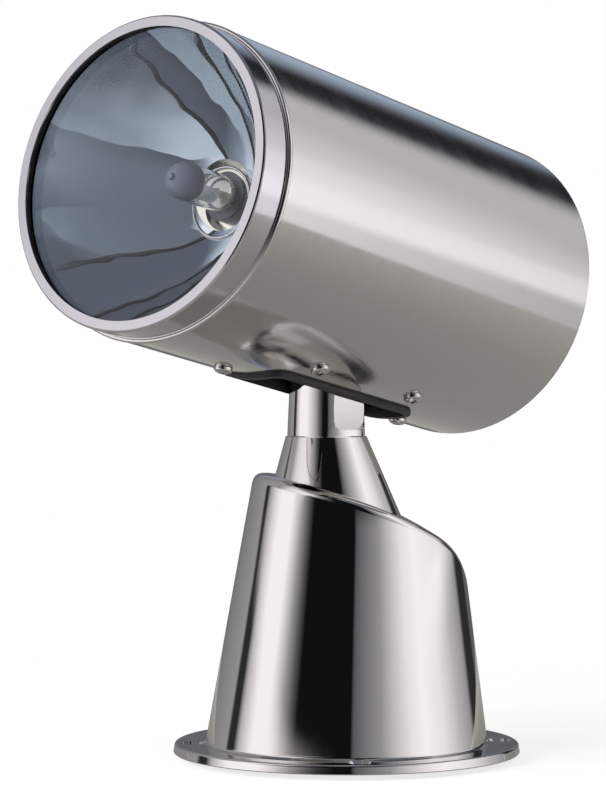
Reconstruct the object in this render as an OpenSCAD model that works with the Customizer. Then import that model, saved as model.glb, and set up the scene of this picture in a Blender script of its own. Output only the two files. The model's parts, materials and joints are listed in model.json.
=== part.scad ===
// Remote-control marine searchlight: a polished pedestal that is bolted to a deck,
// a neck that pans on it and a tubular lamp head that tilts on the neck.
// Millimetres, +Z up, origin at the centre of the underside of the deck flange.
// The front of the pedestal faces -Y. The head is drawn panned and tilted.

/* [Pedestal] */
// Diameter of the pedestal where it stands on the flange
foot_d = 146.6; // [134:0.2:162]
// Width of the deck flange around the foot
flange_rim = 16.7; // [15:0.1:24]
// Thickness of the deck flange
flange_t = 5; // [4.5:0.5:8]
// Radius on the upper edge of the flange
flange_edge_r = 1.2; // [0.6:0.1:2]
// Clear diameter of each of the four fixing holes
fixing_hole_d = 6.6; // [5:0.1:8]
// Width of the countersink around a fixing hole
fixing_sink = 3.4; // [2:0.1:4]
// Distance from the flange edge to the centre of a fixing hole
fixing_edge = 10; // [9:0.5:12]
// How much the radius of the pedestal shrinks per mm of height
body_taper = 0.154; // [0.13:0.001:0.18]
// How far the middle of the pedestal leans to the rear per mm of height
body_lean = 0.026; // [0:0.001:0.04]
// Height of the front end of the sloping top
crown_front_z = 144.3; // [132:0.1:160]
// Radius of the arc that the sloping top follows
crown_r = 262; // [235:1:340]
// Slope of the top at its front end in degrees
crown_start_angle = 10; // [7:0.5:13]
// Length of the rolled edge at the front of the top
rim_front = 10; // [6:0.5:12]
// Length of the rolled edge at the rear of the top
rim_rear = 20; // [14:0.5:22]
// Distance of the front end of the sloping top in front of the flange centre
crown_start = 40; // [36:0.5:44]
// Distance of the pan axis in front of the flange centre
neck_offset = 10.6; // [7:0.1:13]
// Height of the seam under the neck above the front end of the sloping top
cone_show = 19.7; // [17:0.1:28]
// Diameter of the pedestal at the seam
collar_d = 42; // [39:0.2:46]
// How far the front of the upper cone runs out per mm going down
cone_front = 0.27; // [0.2:0.01:0.34]
// How far the rear of the upper cone runs out per mm going down
cone_rear = 0.433; // [0.36:0.001:0.5]

/* [Pose] */
// Pan of the head as drawn, from the front of the pedestal to its left
pan_at_rest = 47; // [0:1:90]
// Upward tilt of the head as drawn
tilt_at_rest = 11.5; // [-12:0.5:22]

/* [Neck] */
// How much smaller the radius of the neck is than that of the pedestal at the seam
neck_step = 0.8; // [0.4:0.1:1.6]
// How much the radius of the neck shrinks up to the lamp head
neck_taper = 1.2; // [0.4:0.1:2]
// Depth of each of the two flats of the neck
neck_flat = 5.2; // [4.4:0.1:6]
// Width of each flat
flat_w = 25.2; // [24:0.2:27]
// Radius of the lower corners of each flat
flat_corner = 4.4; // [3:0.1:6]
// Height of the full ring below the flats
neck_ring_h = 3; // [2:0.1:5]
// Height of the neck between the seam and the barrel
neck_show = 21.6; // [19:0.2:36]

/* [Lamp head] */
// Outer diameter of the barrel
barrel_d = 160.4; // [144:0.2:178]
// Wall of the barrel
barrel_wall = 1.1; // [0.8:0.1:2]
// Distance from the tilt axis to the front face of the bezel
head_front = 150; // [140:0.5:170]
// Distance from the tilt axis to the rear face
head_rear = 126.3; // [116:0.1:150]
// Length of the bezel in front of the barrel
bezel_band = 18; // [14:0.5:22]
// Width of the front face of the bezel
bezel_face = 5.6; // [4.8:0.1:8]
// Wall of the bezel behind its face
bezel_wall = 1.8; // [1.4:0.1:2.4]
// Thickness of the face of the bezel
bezel_lip = 1.2; // [1:0.1:2.4]
// Thickness of the front glass
lens_t = 4; // [3:0.5:6]
// Thickness of the seal between the bezel and the glass
lens_seal_t = 2.2; // [1:0.1:3]
// Focal length of the reflector
reflector_focus = 22; // [20:0.1:25]
// Height of the bulb above the axis of the barrel
bulb_lift = 4; // [0:0.5:7]
// Diameter of the bulb
bulb_d = 19; // [16:0.5:20]
// Length of the straight glass of the bulb
bulb_l = 38.5; // [30:0.5:42]
// Half of the length of the slot under the barrel
slot_half_l = 56; // [52:0.5:64]
// Radius of the corners of the slot
slot_corner = 6; // [3:0.5:10]
// Distance of the middle of the slot behind the tilt axis
slot_back = 10.5; // [6:0.1:12]
// Width of the lip of the rubber boot around the slot
boot_lip = 2.5; // [1.5:0.1:4]
// How far the boot stands out of the barrel
boot_proud = 2; // [1:0.1:2.4]

/* [Drive] */
// Teeth of the gear on the pan shaft
pan_gear_teeth = 60; // [48:1:72]
// Teeth of the pinion of the pan motor
pan_pinion_teeth = 15; // [12:1:18]
// Teeth of the gear on the tilt shaft
tilt_gear_teeth = 42; // [38:1:46]
// Teeth of the pinion of the tilt motor
tilt_pinion_teeth = 14; // [12:1:16]
// Module of the teeth of the tilt drive
tilt_module = 1; // [0.9:0.01:1.08]
// Outer diameter of the hollow pan shaft
pan_shaft_d = 20; // [18:0.5:21]
// Diameter of the tilt shaft
tilt_shaft_d = 10; // [8:0.5:12]
// Diameter of the pan motor
pan_motor_d = 28; // [24:0.5:30]
// Length of the pan motor
pan_motor_l = 36; // [28:1:42]
// Diameter of the tilt motor
tilt_motor_d = 25; // [22:0.5:27]
// Length of the tilt motor
tilt_motor_l = 24; // [18:1:26]

/* [Clearances] */
// Radial clearance of a shaft in its bush
run_gap = 0.05; // [0.03:0.01:0.08]
// Radial clearance of parts that are fixed in each other
fit_gap = 0.03; // [0.02:0.01:0.05]
// Clearance between thin parts that lie inside each other
seat_gap = 0.1; // [0.06:0.02:0.16]
// Clearance around a screw in the part that it passes through
screw_gap = 0.2; // [0.1:0.05:0.4]
// Clearance between parts that turn past each other
turn_gap = 0.5; // [0.4:0.1:1]
// Radial clearance of the bezel in the barrel
bezel_gap = 0.4; // [0.2:0.1:0.8]
// Play between the flanks of meshing teeth
tooth_play = 0.25; // [0.2:0.01:0.3]

/* [Hidden] */
$fn = 72;
e = 0.01;
cut = 1;
flange_r = foot_d / 2 + flange_rim;
foot_r = foot_d / 2;
fixing_r = flange_r - fixing_edge;
collar_r = collar_d / 2;
seam_z = crown_front_z + cone_show;
foot_bead = 1.6;
cone_deep = 50;
pan_shaft_r = pan_shaft_d / 2;
tilt_shaft_r = tilt_shaft_d / 2;

// pedestal inside
crown_mid_y = 4;
cover_t = 2.8;
cover_gap = 0.2;
gasket_t = 1;
recess_z = cover_gap + cover_t + gasket_t;
drive_wall = 26;
ledge_w = 8;
cover_land = 12;
roof_t = 6;
drive_room_h = 20;
drive_room_r = foot_r - drive_wall;
cavity_r = drive_room_r + ledge_w;
cover_r = cavity_r + cover_land;
drive_top_z = crown_z(drive_room_r) - roof_t;
ledge_z = drive_top_z - drive_room_h;
plate_t = 4;
plate_z = ledge_z - plate_t;
cover_screw_edge = 6;
cover_screw_circle = cover_r - cover_screw_edge;
plate_screw_circle = cavity_r - ledge_w / 2;
m4_r = 2;
m3_r = 1.5;
thread_l = 8;
tap_l = 9;
inlet_x = -24;
inlet_y = -22;
inlet_d = 9;
grommet_wall = 4.5;
grommet_r = inlet_d / 2 + grommet_wall;
grommet_lip = 3;

// pan drive
bush_wall = 3;
bush_lip = 2.2;
bush_r = pan_shaft_r + bush_wall;
bush_flange_r = bush_r + bush_lip;
bush_flange_t = 2.4;
bush_h = 14;
bush_seat = 4;
shaft_room = 1.5;
neck_z = seam_z + turn_gap;
boss_h = bush_seat + turn_gap - bush_flange_t - seat_gap;
gear_room = 5.85;
gear_t = 6;
nut_t = 4;
gear_lift = 6;
gear_z = ledge_z + gear_lift;
hub_wall = 5;
nut_wall = 6.5;
addendum = 0.85;
pan_module = (drive_room_r - neck_offset - gear_room) / (pan_gear_teeth / 2 + addendum);
pan_distance = pan_module * (pan_gear_teeth + pan_pinion_teeth) / 2;
pinion_y = pan_distance - neck_offset;
pinion_shaft_r = 3;
pinion_deep = 11;
gearbox_wall = 2;
gearbox_screw_edge = 4;
gearbox_r = pan_motor_d / 2 + gearbox_wall;
gearbox_h = 22;
gearbox_screw_r = gearbox_r - gearbox_screw_edge;
motor_boss_r = 5;
motor_boss_h = 4;

// neck
neck_r = collar_r - neck_step;
neck_top_r = neck_r - neck_taper;
flat_half = neck_r - neck_flat;
neck_in_slot = 5.4;
neck_round_h = neck_show + neck_in_slot;
wire_r = 6;
shaft_in_neck = 19.5;
tilt_axis_z = seam_z + neck_show + barrel_d / 2;

// head, measured forward along the beam from the tilt axis
barrel_r = barrel_d / 2;
barrel_in_r = barrel_r - barrel_wall;
mouth_s = head_front - bezel_band;
mouth_edge = 0.9;
rear_t = 1.5;
rear_s = rear_t - head_rear;
edge_step = 0.5;
bezel_r = barrel_in_r - bezel_gap;
bezel_in_r = bezel_r - bezel_wall;
opening_r = bezel_r - bezel_face;
lens_seal_w = 0.9;
gasket_r = bezel_in_r - 2 * seat_gap;
gasket_in_r = opening_r - seat_gap;
lens_r = gasket_r - lens_seal_w;
lens_front_s = head_front - bezel_lip - lens_seal_t;
lens_back_s = lens_front_s - lens_t;
mirror_s = lens_back_s - 2 * seat_gap;
mirror_under = 0.9;
mirror_r = opening_r + mirror_under;
mirror_skin = 2.2;
mirror_rim_r = lens_r + 4 * seat_gap;
mirror_skirt = 1;
mirror_rim_t = 1.5;
bezel_insert = 11.2;
seat_s = mouth_s - bezel_insert;
seat_t = 2.5;
seat_w = 4;
seat_in_r = mirror_rim_r - seat_w;
vertex_s = mirror_s - mirror_r * mirror_r / (4 * reflector_focus);

// bulb
bulb_r = bulb_d / 2;
bulb_wall = 1;
tip_h = 1.6;
tip_r = 2.4;
cap_out = 2.5;
cap_wall = 1.5;
cap_s = vertex_s + cap_out;
cap_r = bulb_r + cap_wall;
lamp_behind = 13.5;
lamp_s = vertex_s - lamp_behind;
lamp_room = 8.5;
lamp_hole_r = bulb_r + lamp_room;
lamp_land = 3.5;
lamp_flange_r = lamp_hole_r + lamp_land;
lamp_flange_t = 1.2;
lamp_screw_land = 5.5;
lamp_collar_r = lamp_flange_r + lamp_screw_land;
lamp_screw_r = lamp_collar_r - lamp_screw_land / 2;
lamp_neck_r = lamp_hole_r - 2 * cap_wall;
lamp_neck_h = 5;
lamp_plug_r = lamp_neck_r - cap_wall;
lamp_plug_h = 8;
lamp_tap_l = 8;
retainer_t = 1.5;
stem_room = 2.5;
stem_r = bulb_r - stem_room;
stem_h = 4;
lead_r = 0.6;
lead_x = 4;
coil_r = 1.1;
coil_high_z = 25;
coil_low_z = 16;
shield_room = 3.1;
shield_r = bulb_r - shield_room;
shield_t = 0.6;
shield_z = 11.5;
shield_h = 12;
plug_w = 22;
plug_h = 18;
plug_l = 12;

// tilt drive, measured sideways from the middle of the head
tang_step = 2;
tang_half = flat_half - tang_step;
tang_deep = 14;
tang_root = 7;
slot_room = 2.5;
slot_half_w = flat_half + slot_room;
cheek_in = slot_half_w + slot_room;
cheek_t = 4;
cheek_out = cheek_in + cheek_t;
tilt_gear_t = 4;
tilt_distance = tilt_module * (tilt_gear_teeth + tilt_pinion_teeth) / 2;
tilt_motor_y = tilt_distance * sin(45);
tilt_motor_z = tilt_distance * cos(45);
tilt_box_wall = 1.5;
tilt_box_r = tilt_motor_d / 2 + tilt_box_wall;
tilt_box_h = 18;
tilt_screw_r = tilt_box_r - 2 * tilt_box_wall;
cheek_edge = 2;
tilt_bush_r = tilt_shaft_r + bush_wall;
bush_lip_t = 2;
clip_t = 1.2;
shaft_end = 5;
clip_gap = 0.4;
lock_r = 2.5;
lock_l = tang_deep - tilt_shaft_r - turn_gap;
cradle_drop = 9.1;
cradle_z = barrel_in_r - cradle_drop;
cradle_t = 4;
cradle_wing = 16.5;
cradle_half_w = slot_half_w + cradle_wing;
cradle_boss_r = 6;
boot_t = 1.2;
long = 2 * (head_front + head_rear);

// cradle screws
screw_r = 2.5;
screw_head_r = 4.7;
screw_head_h = 3.1;
screw_l = 12;
front_screw_gap = 22.5;
rear_screw_gap = 12.5;
front_screw_y = slot_back - slot_half_l - front_screw_gap;
rear_screw_y = slot_back + slot_half_l + rear_screw_gap;
side_screw_angle = 23.5;
// each cradle screw: distance behind the tilt axis, angle from the lowest line
cradle_screw_spots = [
    [front_screw_y, 0],
    [rear_screw_y, 0],
    [slot_back - 0.75 * slot_half_l, side_screw_angle],
    [slot_back - 0.75 * slot_half_l, -side_screw_angle],
    [slot_back + 0.66 * slot_half_l, side_screw_angle],
    [slot_back + 0.66 * slot_half_l, -side_screw_angle]
];

base_housing();
bottom_cover();
bottom_gasket();
bottom_cover_screws();
cable_grommet();
chassis_plate();
chassis_screws();
pan_gearbox();
pan_motor();
pan_motor_screws();
pan_bush_upper();
pan_bush_lower();
pan_pinion();
neck();
pan_shaft();
pan_gear();
pan_nut();
tilt_shaft();
tilt_gear();
tilt_spacer();
tilt_clips();
tilt_lock_screw();
barrel();
bezel();
lens_gasket();
lens();
reflector();
bulb_glass();
bulb_base();
bulb_filament();
bulb_retainer();
bulb_retainer_screws();
bulb_connector();
rear_gasket();
rear_cover();
boot();
cradle();
cradle_screws();
tilt_bushes();
tilt_motor();
tilt_motor_screws();
tilt_pinion();

// Placing helpers

// on the pan axis, not turned
module on_pan_axis() {
    translate([0, -neck_offset, 0]) children();
}

// on the pan axis and turned with the head; forward is -Y
module panned() {
    on_pan_axis() rotate([0, 0, pan_at_rest]) children();
}

// at the tilt axis, turned and tilted with the head; forward is -Y
module in_head() {
    panned() translate([0, 0, tilt_axis_z]) rotate([-tilt_at_rest, 0, 0]) children();
}

// in the head, with +Z pointing forward along the beam and +Y pointing up
module along_beam() {
    in_head() rotate([90, 0, 0]) children();
}

// at the tilt axis of the neck, with +Z pointing sideways along the tilt shaft
module on_tilt_shaft() {
    panned() translate([0, 0, tilt_axis_z]) rotate([0, 90, 0]) children();
}

// at the middle of the bulb, along the beam
module at_lamp() {
    along_beam() translate([0, bulb_lift, 0]) children();
}

// in the head at the axis of the tilt motor
module at_tilt_motor() {
    translate([0, tilt_motor_y, tilt_motor_z]) children();
}

// at the axis of the pan motor
module at_pan_motor() {
    translate([0, pinion_y, 0]) children();
}

// in the head under a cradle screw, with +Z pointing out of the barrel
module toward_screw(spot) {
    translate([0, spot[0], 0]) rotate([0, 180 - spot[1], 0]) children();
}

// copies on a circle
module around(n, r, start = 0) {
    for (i = [0 : n - 1]) rotate([0, 0, start + i * 360 / n]) translate([r, 0, 0]) children();
}

// Shape helpers

// a disc standing on z
module disc(r, z, h) {
    translate([0, 0, z]) cylinder(r = r, h = h);
}

// a ring standing on z
module ring(ro, ri, z, h) {
    difference() {
        disc(ro, z, h);
        disc(ri, z - cut, h + 2 * cut);
    }
}

// a screw with a domed head and a cross recess, its head on z = 0 and its shank below
module pan_screw(r, head_r, head_h, len) {
    rim_h = 0.45 * head_h;
    dome_h = 0.75 * head_h;
    dome_r = 0.86 * head_r;
    difference() {
        union() {
            disc(r, -len, len + rim_h / 2);
            disc(head_r, 0, rim_h);
            translate([0, 0, rim_h]) cylinder(r1 = head_r, r2 = dome_r, h = dome_h - rim_h);
            translate([0, 0, dome_h]) cylinder(r1 = dome_r, r2 = 0.6 * dome_r, h = head_h - dome_h);
        }
        for (turn = [0, 90]) rotate([0, 0, turn])
            translate([-head_r / 2, -head_r / 10, 0.9 * rim_h]) cube([head_r, head_r / 5, head_h]);
    }
}

// a slot outline with rounded corners, lying along Y
module slot_outline(half_l, half_w, corner) {
    square([2 * (half_w - corner), 2 * half_l], center = true);
    square([2 * half_w, 2 * (half_l - corner)], center = true);
    for (x = [-1, 1]) for (y = [-1, 1])
        translate([x * (half_w - corner), y * (half_l - corner)]) circle(r = corner);
}

// the slot outline as a tall upright block under the barrel, grown by a margin
module slot_block(margin, low, high) {
    translate([0, slot_back, -high]) linear_extrude(height = high - low)
        slot_outline(slot_half_l + margin, slot_half_w + margin, slot_corner + margin);
}

// a long bar along the beam, for cuts with the curve of the barrel
module beam_bar(r) {
    rotate([90, 0, 0]) translate([0, 0, -long / 2]) cylinder(r = r, h = long);
}

// Gear teeth with involute flanks
pressure_angle = 20;
function involute(a) = tan(a) * 180 / PI - a;
function base_radius(n, m) = m * n * cos(pressure_angle) / 2;
function half_tooth(n, m, r) = 90 / n - tooth_play * 90 / (PI * m * n)
    + involute(pressure_angle) - involute(acos(min(1, base_radius(n, m) / r)));
function tooth_radii(n, m) = [m * (n / 2 - 1.1), max(base_radius(n, m), m * (n / 2 - 0.75)),
    m * n / 2, m * (n / 2 + 0.45), m * (n / 2 + addendum)];
function polar(r, a) = [r * cos(a), r * sin(a)];
function tooth(n, m, a, q) = [
    polar(q[0], a - half_tooth(n, m, q[1]) - 30 / n),
    for (k = [1 : 4]) polar(q[k], a - half_tooth(n, m, q[k])),
    for (k = [4 : -1 : 1]) polar(q[k], a + half_tooth(n, m, q[k])),
    polar(q[0], a + half_tooth(n, m, q[1]) + 30 / n)
];
function gear_points(n, m) = [for (i = [0 : n - 1]) each tooth(n, m, i * 360 / n, tooth_radii(n, m))];

module toothed(n, m, h) {
    linear_extrude(height = h) polygon(gear_points(n, m));
}

// Pedestal

// the pedestal is a leaning cone whose top follows an arc; t is the angle from the front
function body_r(z) = foot_r - body_taper * (z - flange_t);
function body_mid(z) = body_lean * (z - flange_t);
function body_at(t, z) = [body_r(z) * sin(t), body_mid(z) - body_r(z) * cos(t), z];
function crown_u(y) = sin(crown_start_angle) + (y + crown_start) / crown_r;
function crown_z(y) = crown_front_z
    - crown_r * (cos(crown_start_angle) - sqrt(1 - crown_u(y) * crown_u(y)));
// where the side of the cone meets the arc, found by going up and down between them
function rim_height(t, z, k) = k == 0 ? z : rim_height(t, crown_z(body_at(t, z)[1]), k - 1);
function rim_at(t) = body_at(t, rim_height(t, drive_top_z, 14));
function roll(t) = rim_front + (rim_rear - rim_front) * pow((1 - cos(t)) / 2, 2);
function on_crown(p) = [p[0], p[1], crown_z(p[1])];
function toward_mid(p, d) = let (v = [-p[0], crown_mid_y - p[1]])
    [p[0] + v[0] * d / norm(v), p[1] + v[1] * d / norm(v)];
function bend(a, b, c, s) = (1 - s) * (1 - s) * a + 2 * s * (1 - s) * b + s * s * c;
function rim_point(t, s) = let (rim = rim_at(t))
    bend(body_at(t, rim[2] - roll(t)), rim, on_crown(toward_mid(rim, 0.9 * roll(t))), s);
function crown_point(t, k) = let (p = rim_point(t, 1))
    on_crown([p[0] * k, crown_mid_y + (p[1] - crown_mid_y) * k]);

body_steps = 96;
roll_steps = 6;
crown_rings = [0.7, 0.4];
body_rows = 2 + roll_steps + len(crown_rings);
turn_angles = [for (i = [0 : body_steps - 1]) i * 360 / body_steps];
function body_ring(t) = [
    body_at(t, flange_t / 2),
    for (s = [0 : roll_steps]) rim_point(t, s / roll_steps),
    for (k = crown_rings) crown_point(t, k)
];
function at(row, i) = row * body_steps + i % body_steps;

module leaning_body() {
    rings = [for (t = turn_angles) body_ring(t)];
    last = body_rows - 1;
    apex = body_rows * body_steps;
    turns = [0 : body_steps - 1];
    points = [for (row = [0 : last]) for (i = turns) rings[i][row], on_crown([0, crown_mid_y])];
    faces = [
        [for (i = turns) i],
        for (i = turns) [at(0, i), at(1, i), at(1, i + 1), at(0, i + 1)],
        for (row = [1 : last - 1]) for (i = turns) [at(row, i), at(row + 1, i), at(row + 1, i + 1)],
        for (row = [1 : last - 1]) for (i = turns) [at(row, i), at(row + 1, i + 1), at(row, i + 1)],
        for (i = turns) [at(last, i), apex, at(last, i + 1)]
    ];
    polyhedron(points = points, faces = faces, convexity = 4);
}

// a cone between two level circles whose middles need not lie above each other
module leaning_cone(r_low, y_low, z_low, r_high, y_high, z_high) {
    turns = [0 : body_steps - 1];
    low = [for (t = turn_angles) [r_low * sin(t), y_low - r_low * cos(t), z_low]];
    high = [for (t = turn_angles) [r_high * sin(t), y_high - r_high * cos(t), z_high]];
    faces = [
        [for (i = turns) i],
        for (i = turns) [at(0, i), at(1, i), at(1, i + 1), at(0, i + 1)],
        [for (i = [body_steps - 1 : -1 : 0]) at(1, i)]
    ];
    polyhedron(points = concat(low, high), faces = faces, convexity = 2);
}

module upper_cone() {
    low_r = collar_r + (cone_rear + cone_front) * cone_deep / 2;
    low_y = (cone_rear - cone_front) * cone_deep / 2 - neck_offset;
    leaning_cone(low_r, low_y, seam_z - cone_deep, collar_r, -neck_offset, seam_z);
}

module flange_disc() {
    rotate_extrude() union() {
        square([flange_r - flange_edge_r, flange_t]);
        square([flange_r, flange_t - flange_edge_r]);
        translate([flange_r - flange_edge_r, flange_t - flange_edge_r]) circle(r = flange_edge_r, $fn = 32);
    }
}

module fixing_hole() {
    disc(fixing_hole_d / 2, -cut, flange_t + 2 * cut);
    translate([0, 0, flange_t - fixing_sink])
        cylinder(r1 = fixing_hole_d / 2, r2 = fixing_hole_d / 2 + fixing_sink + cut, h = fixing_sink + cut);
}

// the room for the drive, from the recess of the bottom cover up
module drive_room() {
    rotate_extrude() polygon([
        [0, -cut], [cover_r + 3 * seat_gap, -cut], [cover_r + 3 * seat_gap, recess_z],
        [cavity_r, recess_z], [cavity_r, ledge_z], [drive_room_r, ledge_z],
        [drive_room_r, drive_top_z], [0, drive_top_z]
    ]);
}

// the bore for the pan shaft with the seats of its two bushes
module shaft_bore() {
    upper_z = seam_z - bush_seat;
    rotate_extrude() polygon([
        [0, drive_top_z - bush_flange_t], [bush_r + fit_gap, drive_top_z - bush_flange_t],
        [bush_r + fit_gap, drive_top_z + bush_h], [pan_shaft_r + shaft_room, drive_top_z + bush_h],
        [pan_shaft_r + shaft_room, upper_z - bush_h], [bush_r + fit_gap, upper_z - bush_h],
        [bush_r + fit_gap, upper_z], [bush_flange_r + seat_gap, upper_z],
        [bush_flange_r + seat_gap, seam_z + cut], [0, seam_z + cut]
    ]);
}

module base_housing() color([0.78, 0.78, 0.8]) difference() {
    union() {
        flange_disc();
        translate([0, 0, flange_t - cut])
            cylinder(r1 = foot_r + foot_bead + cut, r2 = foot_r + foot_bead / 3, h = cut + foot_bead);
        leaning_body();
        upper_cone();
    }
    around(4, fixing_r) fixing_hole();
    drive_room();
    on_pan_axis() shaft_bore();
    around(6, cover_screw_circle, 30) disc(m4_r + fit_gap, cover_gap, recess_z + tap_l);
    around(4, plate_screw_circle, 45) disc(m4_r + fit_gap, ledge_z - cut, tap_l + cut);
}

module bottom_cover() color([0.7, 0.7, 0.72]) difference() {
    disc(cover_r, cover_gap, cover_t);
    around(6, cover_screw_circle, 30) {
        disc(m4_r + screw_gap, -cut, recess_z + cut);
        translate([0, 0, cover_gap - e]) cylinder(r1 = 2 * m4_r + 0.3, r2 = m4_r + screw_gap, h = m4_r + 0.1);
    }
    translate([inlet_x, inlet_y, 0]) disc(grommet_r + seat_gap, -cut, recess_z + cut);
}

module bottom_gasket() color([0.08, 0.08, 0.08]) difference() {
    ring(cover_r, cavity_r + turn_gap, cover_gap + cover_t, gasket_t);
    around(6, cover_screw_circle, 30) disc(m4_r + 2 * screw_gap, 0, 2 * recess_z);
}

module bottom_cover_screws() color([0.75, 0.75, 0.77]) around(6, cover_screw_circle, 30) difference() {
    union() {
        translate([0, 0, cover_gap]) cylinder(r1 = 2 * m4_r + screw_gap, r2 = m4_r, h = m4_r + screw_gap);
        disc(m4_r, cover_gap + cut, recess_z + thread_l - cut);
    }
    translate([-m4_r, -m4_r / 5, -cut]) cube([2 * m4_r, 0.4 * m4_r, 2 * cut]);
    translate([-m4_r / 5, -m4_r, -cut]) cube([0.4 * m4_r, 2 * m4_r, 2 * cut]);
}

module cable_grommet() color([0.07, 0.07, 0.07]) translate([inlet_x, inlet_y, 0]) difference() {
    union() {
        disc(grommet_r, cover_gap, cover_t + cut);
        disc(grommet_r + grommet_lip, cover_gap + cover_t, grommet_lip);
        translate([0, 0, cover_gap + cover_t + grommet_lip - e])
            cylinder(r1 = grommet_r, r2 = grommet_r - grommet_lip / 2, h = 2 * grommet_lip + cut);
    }
    disc(inlet_d / 2, -cut, cover_t + 4 * grommet_lip + 3 * cut);
}

module chassis_plate() color([0.62, 0.63, 0.65]) difference() {
    disc(cavity_r - 2 * seat_gap, plate_z, plate_t);
    on_pan_axis() disc(pan_shaft_r + shaft_room, plate_z - cut, plate_t + 2 * cut);
    at_pan_motor() disc(pinion_shaft_r + shaft_room, plate_z - cut, plate_t + 2 * cut);
    around(4, plate_screw_circle, 45) disc(m4_r + screw_gap, plate_z - cut, plate_t + 2 * cut);
    at_pan_motor() around(3, gearbox_screw_r, 90) disc(m3_r + screw_gap, plate_z - cut, plate_t + 2 * cut);
}

module chassis_screws() color([0.75, 0.75, 0.77]) around(4, plate_screw_circle, 45)
    translate([0, 0, plate_z]) mirror([0, 0, 1]) pan_screw(m4_r, 1.9 * m4_r, 1.3 * m4_r, plate_t + thread_l);

module pan_gearbox() color([0.55, 0.56, 0.58]) at_pan_motor() difference() {
    disc(gearbox_r, plate_z - gearbox_h, gearbox_h);
    disc(pinion_shaft_r + run_gap, plate_z - pinion_deep - cut, pinion_deep + 2 * cut);
    around(3, gearbox_screw_r, 90) disc(m3_r + fit_gap, plate_z - tap_l, tap_l + cut);
}

module pan_motor() color([0.3, 0.31, 0.33]) at_pan_motor() union() {
    disc(pan_motor_d / 2, plate_z - gearbox_h - pan_motor_l, pan_motor_l);
    disc(motor_boss_r, plate_z - gearbox_h - pan_motor_l - motor_boss_h, motor_boss_h + cut);
}

module pan_motor_screws() color([0.75, 0.75, 0.77]) at_pan_motor() around(3, gearbox_screw_r, 90)
    translate([0, 0, ledge_z]) pan_screw(m3_r, 1.8 * m3_r, 1.3 * m3_r, plate_t + thread_l);

module pan_bush_upper() color([0.72, 0.55, 0.3]) on_pan_axis() difference() {
    union() {
        disc(bush_r, seam_z - bush_seat - bush_h + 4 * seat_gap, bush_h);
        disc(bush_flange_r, seam_z - bush_seat, bush_flange_t);
    }
    disc(pan_shaft_r + run_gap, seam_z - 2 * bush_h - bush_seat, 4 * bush_h);
}

module pan_bush_lower() color([0.72, 0.55, 0.3]) on_pan_axis() difference() {
    union() {
        disc(bush_r, drive_top_z - 5 * seat_gap, bush_h);
        disc(bush_flange_r, drive_top_z - bush_flange_t, bush_flange_t);
    }
    disc(pan_shaft_r + run_gap, drive_top_z - 2 * bush_h, 4 * bush_h);
}

module pan_pinion() color([0.68, 0.55, 0.28]) at_pan_motor() union() {
    translate([0, 0, gear_z]) rotate([0, 0, 270 + 180 / pan_pinion_teeth])
        toothed(pan_pinion_teeth, pan_module, gear_t);
    disc(pinion_shaft_r, plate_z - pinion_deep, gear_z + gear_t + cut - plate_z + pinion_deep);
}

// Neck and pan shaft

// the outline of a flat, with its lower corners rounded
module flat_outline() {
    foot_w = flat_w - 2 * flat_corner;
    translate([-flat_w / 2, flat_corner]) square([flat_w, 2 * neck_round_h]);
    translate([-foot_w / 2, 0]) square([foot_w, 2 * neck_round_h]);
    for (x = [-1, 1]) translate([x * foot_w / 2, flat_corner]) circle(r = flat_corner);
}

// what is cut away outside the two flats, open at the top
module neck_cut() {
    for (side = [0, 180]) rotate([0, 0, side])
        translate([flat_half, 0, neck_z + neck_ring_h]) rotate([90, 0, 90])
            linear_extrude(height = neck_r) flat_outline();
}

module neck() color([0.8, 0.8, 0.82]) panned() difference() {
    tang_z = neck_z + neck_round_h - tang_root;
    wire_exit_z = (tang_z + tilt_axis_z) / 2;
    union() {
        difference() {
            translate([0, 0, neck_z]) cylinder(r1 = neck_r, r2 = neck_top_r, h = neck_round_h);
            neck_cut();
        }
        disc(bush_flange_r - turn_gap, neck_z - boss_h, boss_h + cut);
        translate([-tang_half, -tang_deep, tang_z])
            cube([2 * tang_half, 2 * tang_deep, tilt_axis_z - tang_z]);
        translate([0, 0, tilt_axis_z]) rotate([0, 90, 0]) disc(tang_deep, -tang_half, 2 * tang_half);
    }
    disc(pan_shaft_r + fit_gap, neck_z - boss_h - cut, boss_h + cut + shaft_in_neck);
    disc(wire_r, neck_z, wire_exit_z - neck_z);
    translate([0, 0, wire_exit_z]) sphere(r = wire_r);
    translate([0, 0, wire_exit_z]) rotate([-90, 0, 0]) cylinder(r = wire_r, h = 2 * tang_deep);
    translate([0, 0, tilt_axis_z]) rotate([0, 90, 0])
        disc(tilt_shaft_r + fit_gap, -2 * tang_half, 4 * tang_half);
    disc(lock_r + fit_gap, tilt_axis_z, 2 * tang_deep);
}

module pan_shaft() color([0.66, 0.67, 0.7]) panned() difference() {
    low = gear_z - nut_t - turn_gap;
    disc(pan_shaft_r, low, neck_z + shaft_in_neck - seat_gap - low);
    disc(wire_r + turn_gap, low - cut, seam_z);
}

module pan_gear() color([0.68, 0.55, 0.28]) on_pan_axis() difference() {
    union() {
        translate([0, 0, gear_z]) rotate([0, 0, 90]) toothed(pan_gear_teeth, pan_module, gear_t);
        disc(pan_shaft_r + hub_wall, gear_z + cut, drive_top_z - bush_flange_t - seat_gap - gear_z - cut);
    }
    disc(pan_shaft_r + fit_gap, gear_z - cut, drive_top_z);
}

module pan_nut() color([0.7, 0.7, 0.73]) panned() difference() {
    translate([0, 0, gear_z - nut_t]) cylinder(r = pan_shaft_r + nut_wall, h = nut_t, $fn = 6);
    disc(pan_shaft_r + fit_gap, gear_z - 2 * nut_t, 4 * nut_t);
}

// Tilt shaft, fixed in the neck

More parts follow.
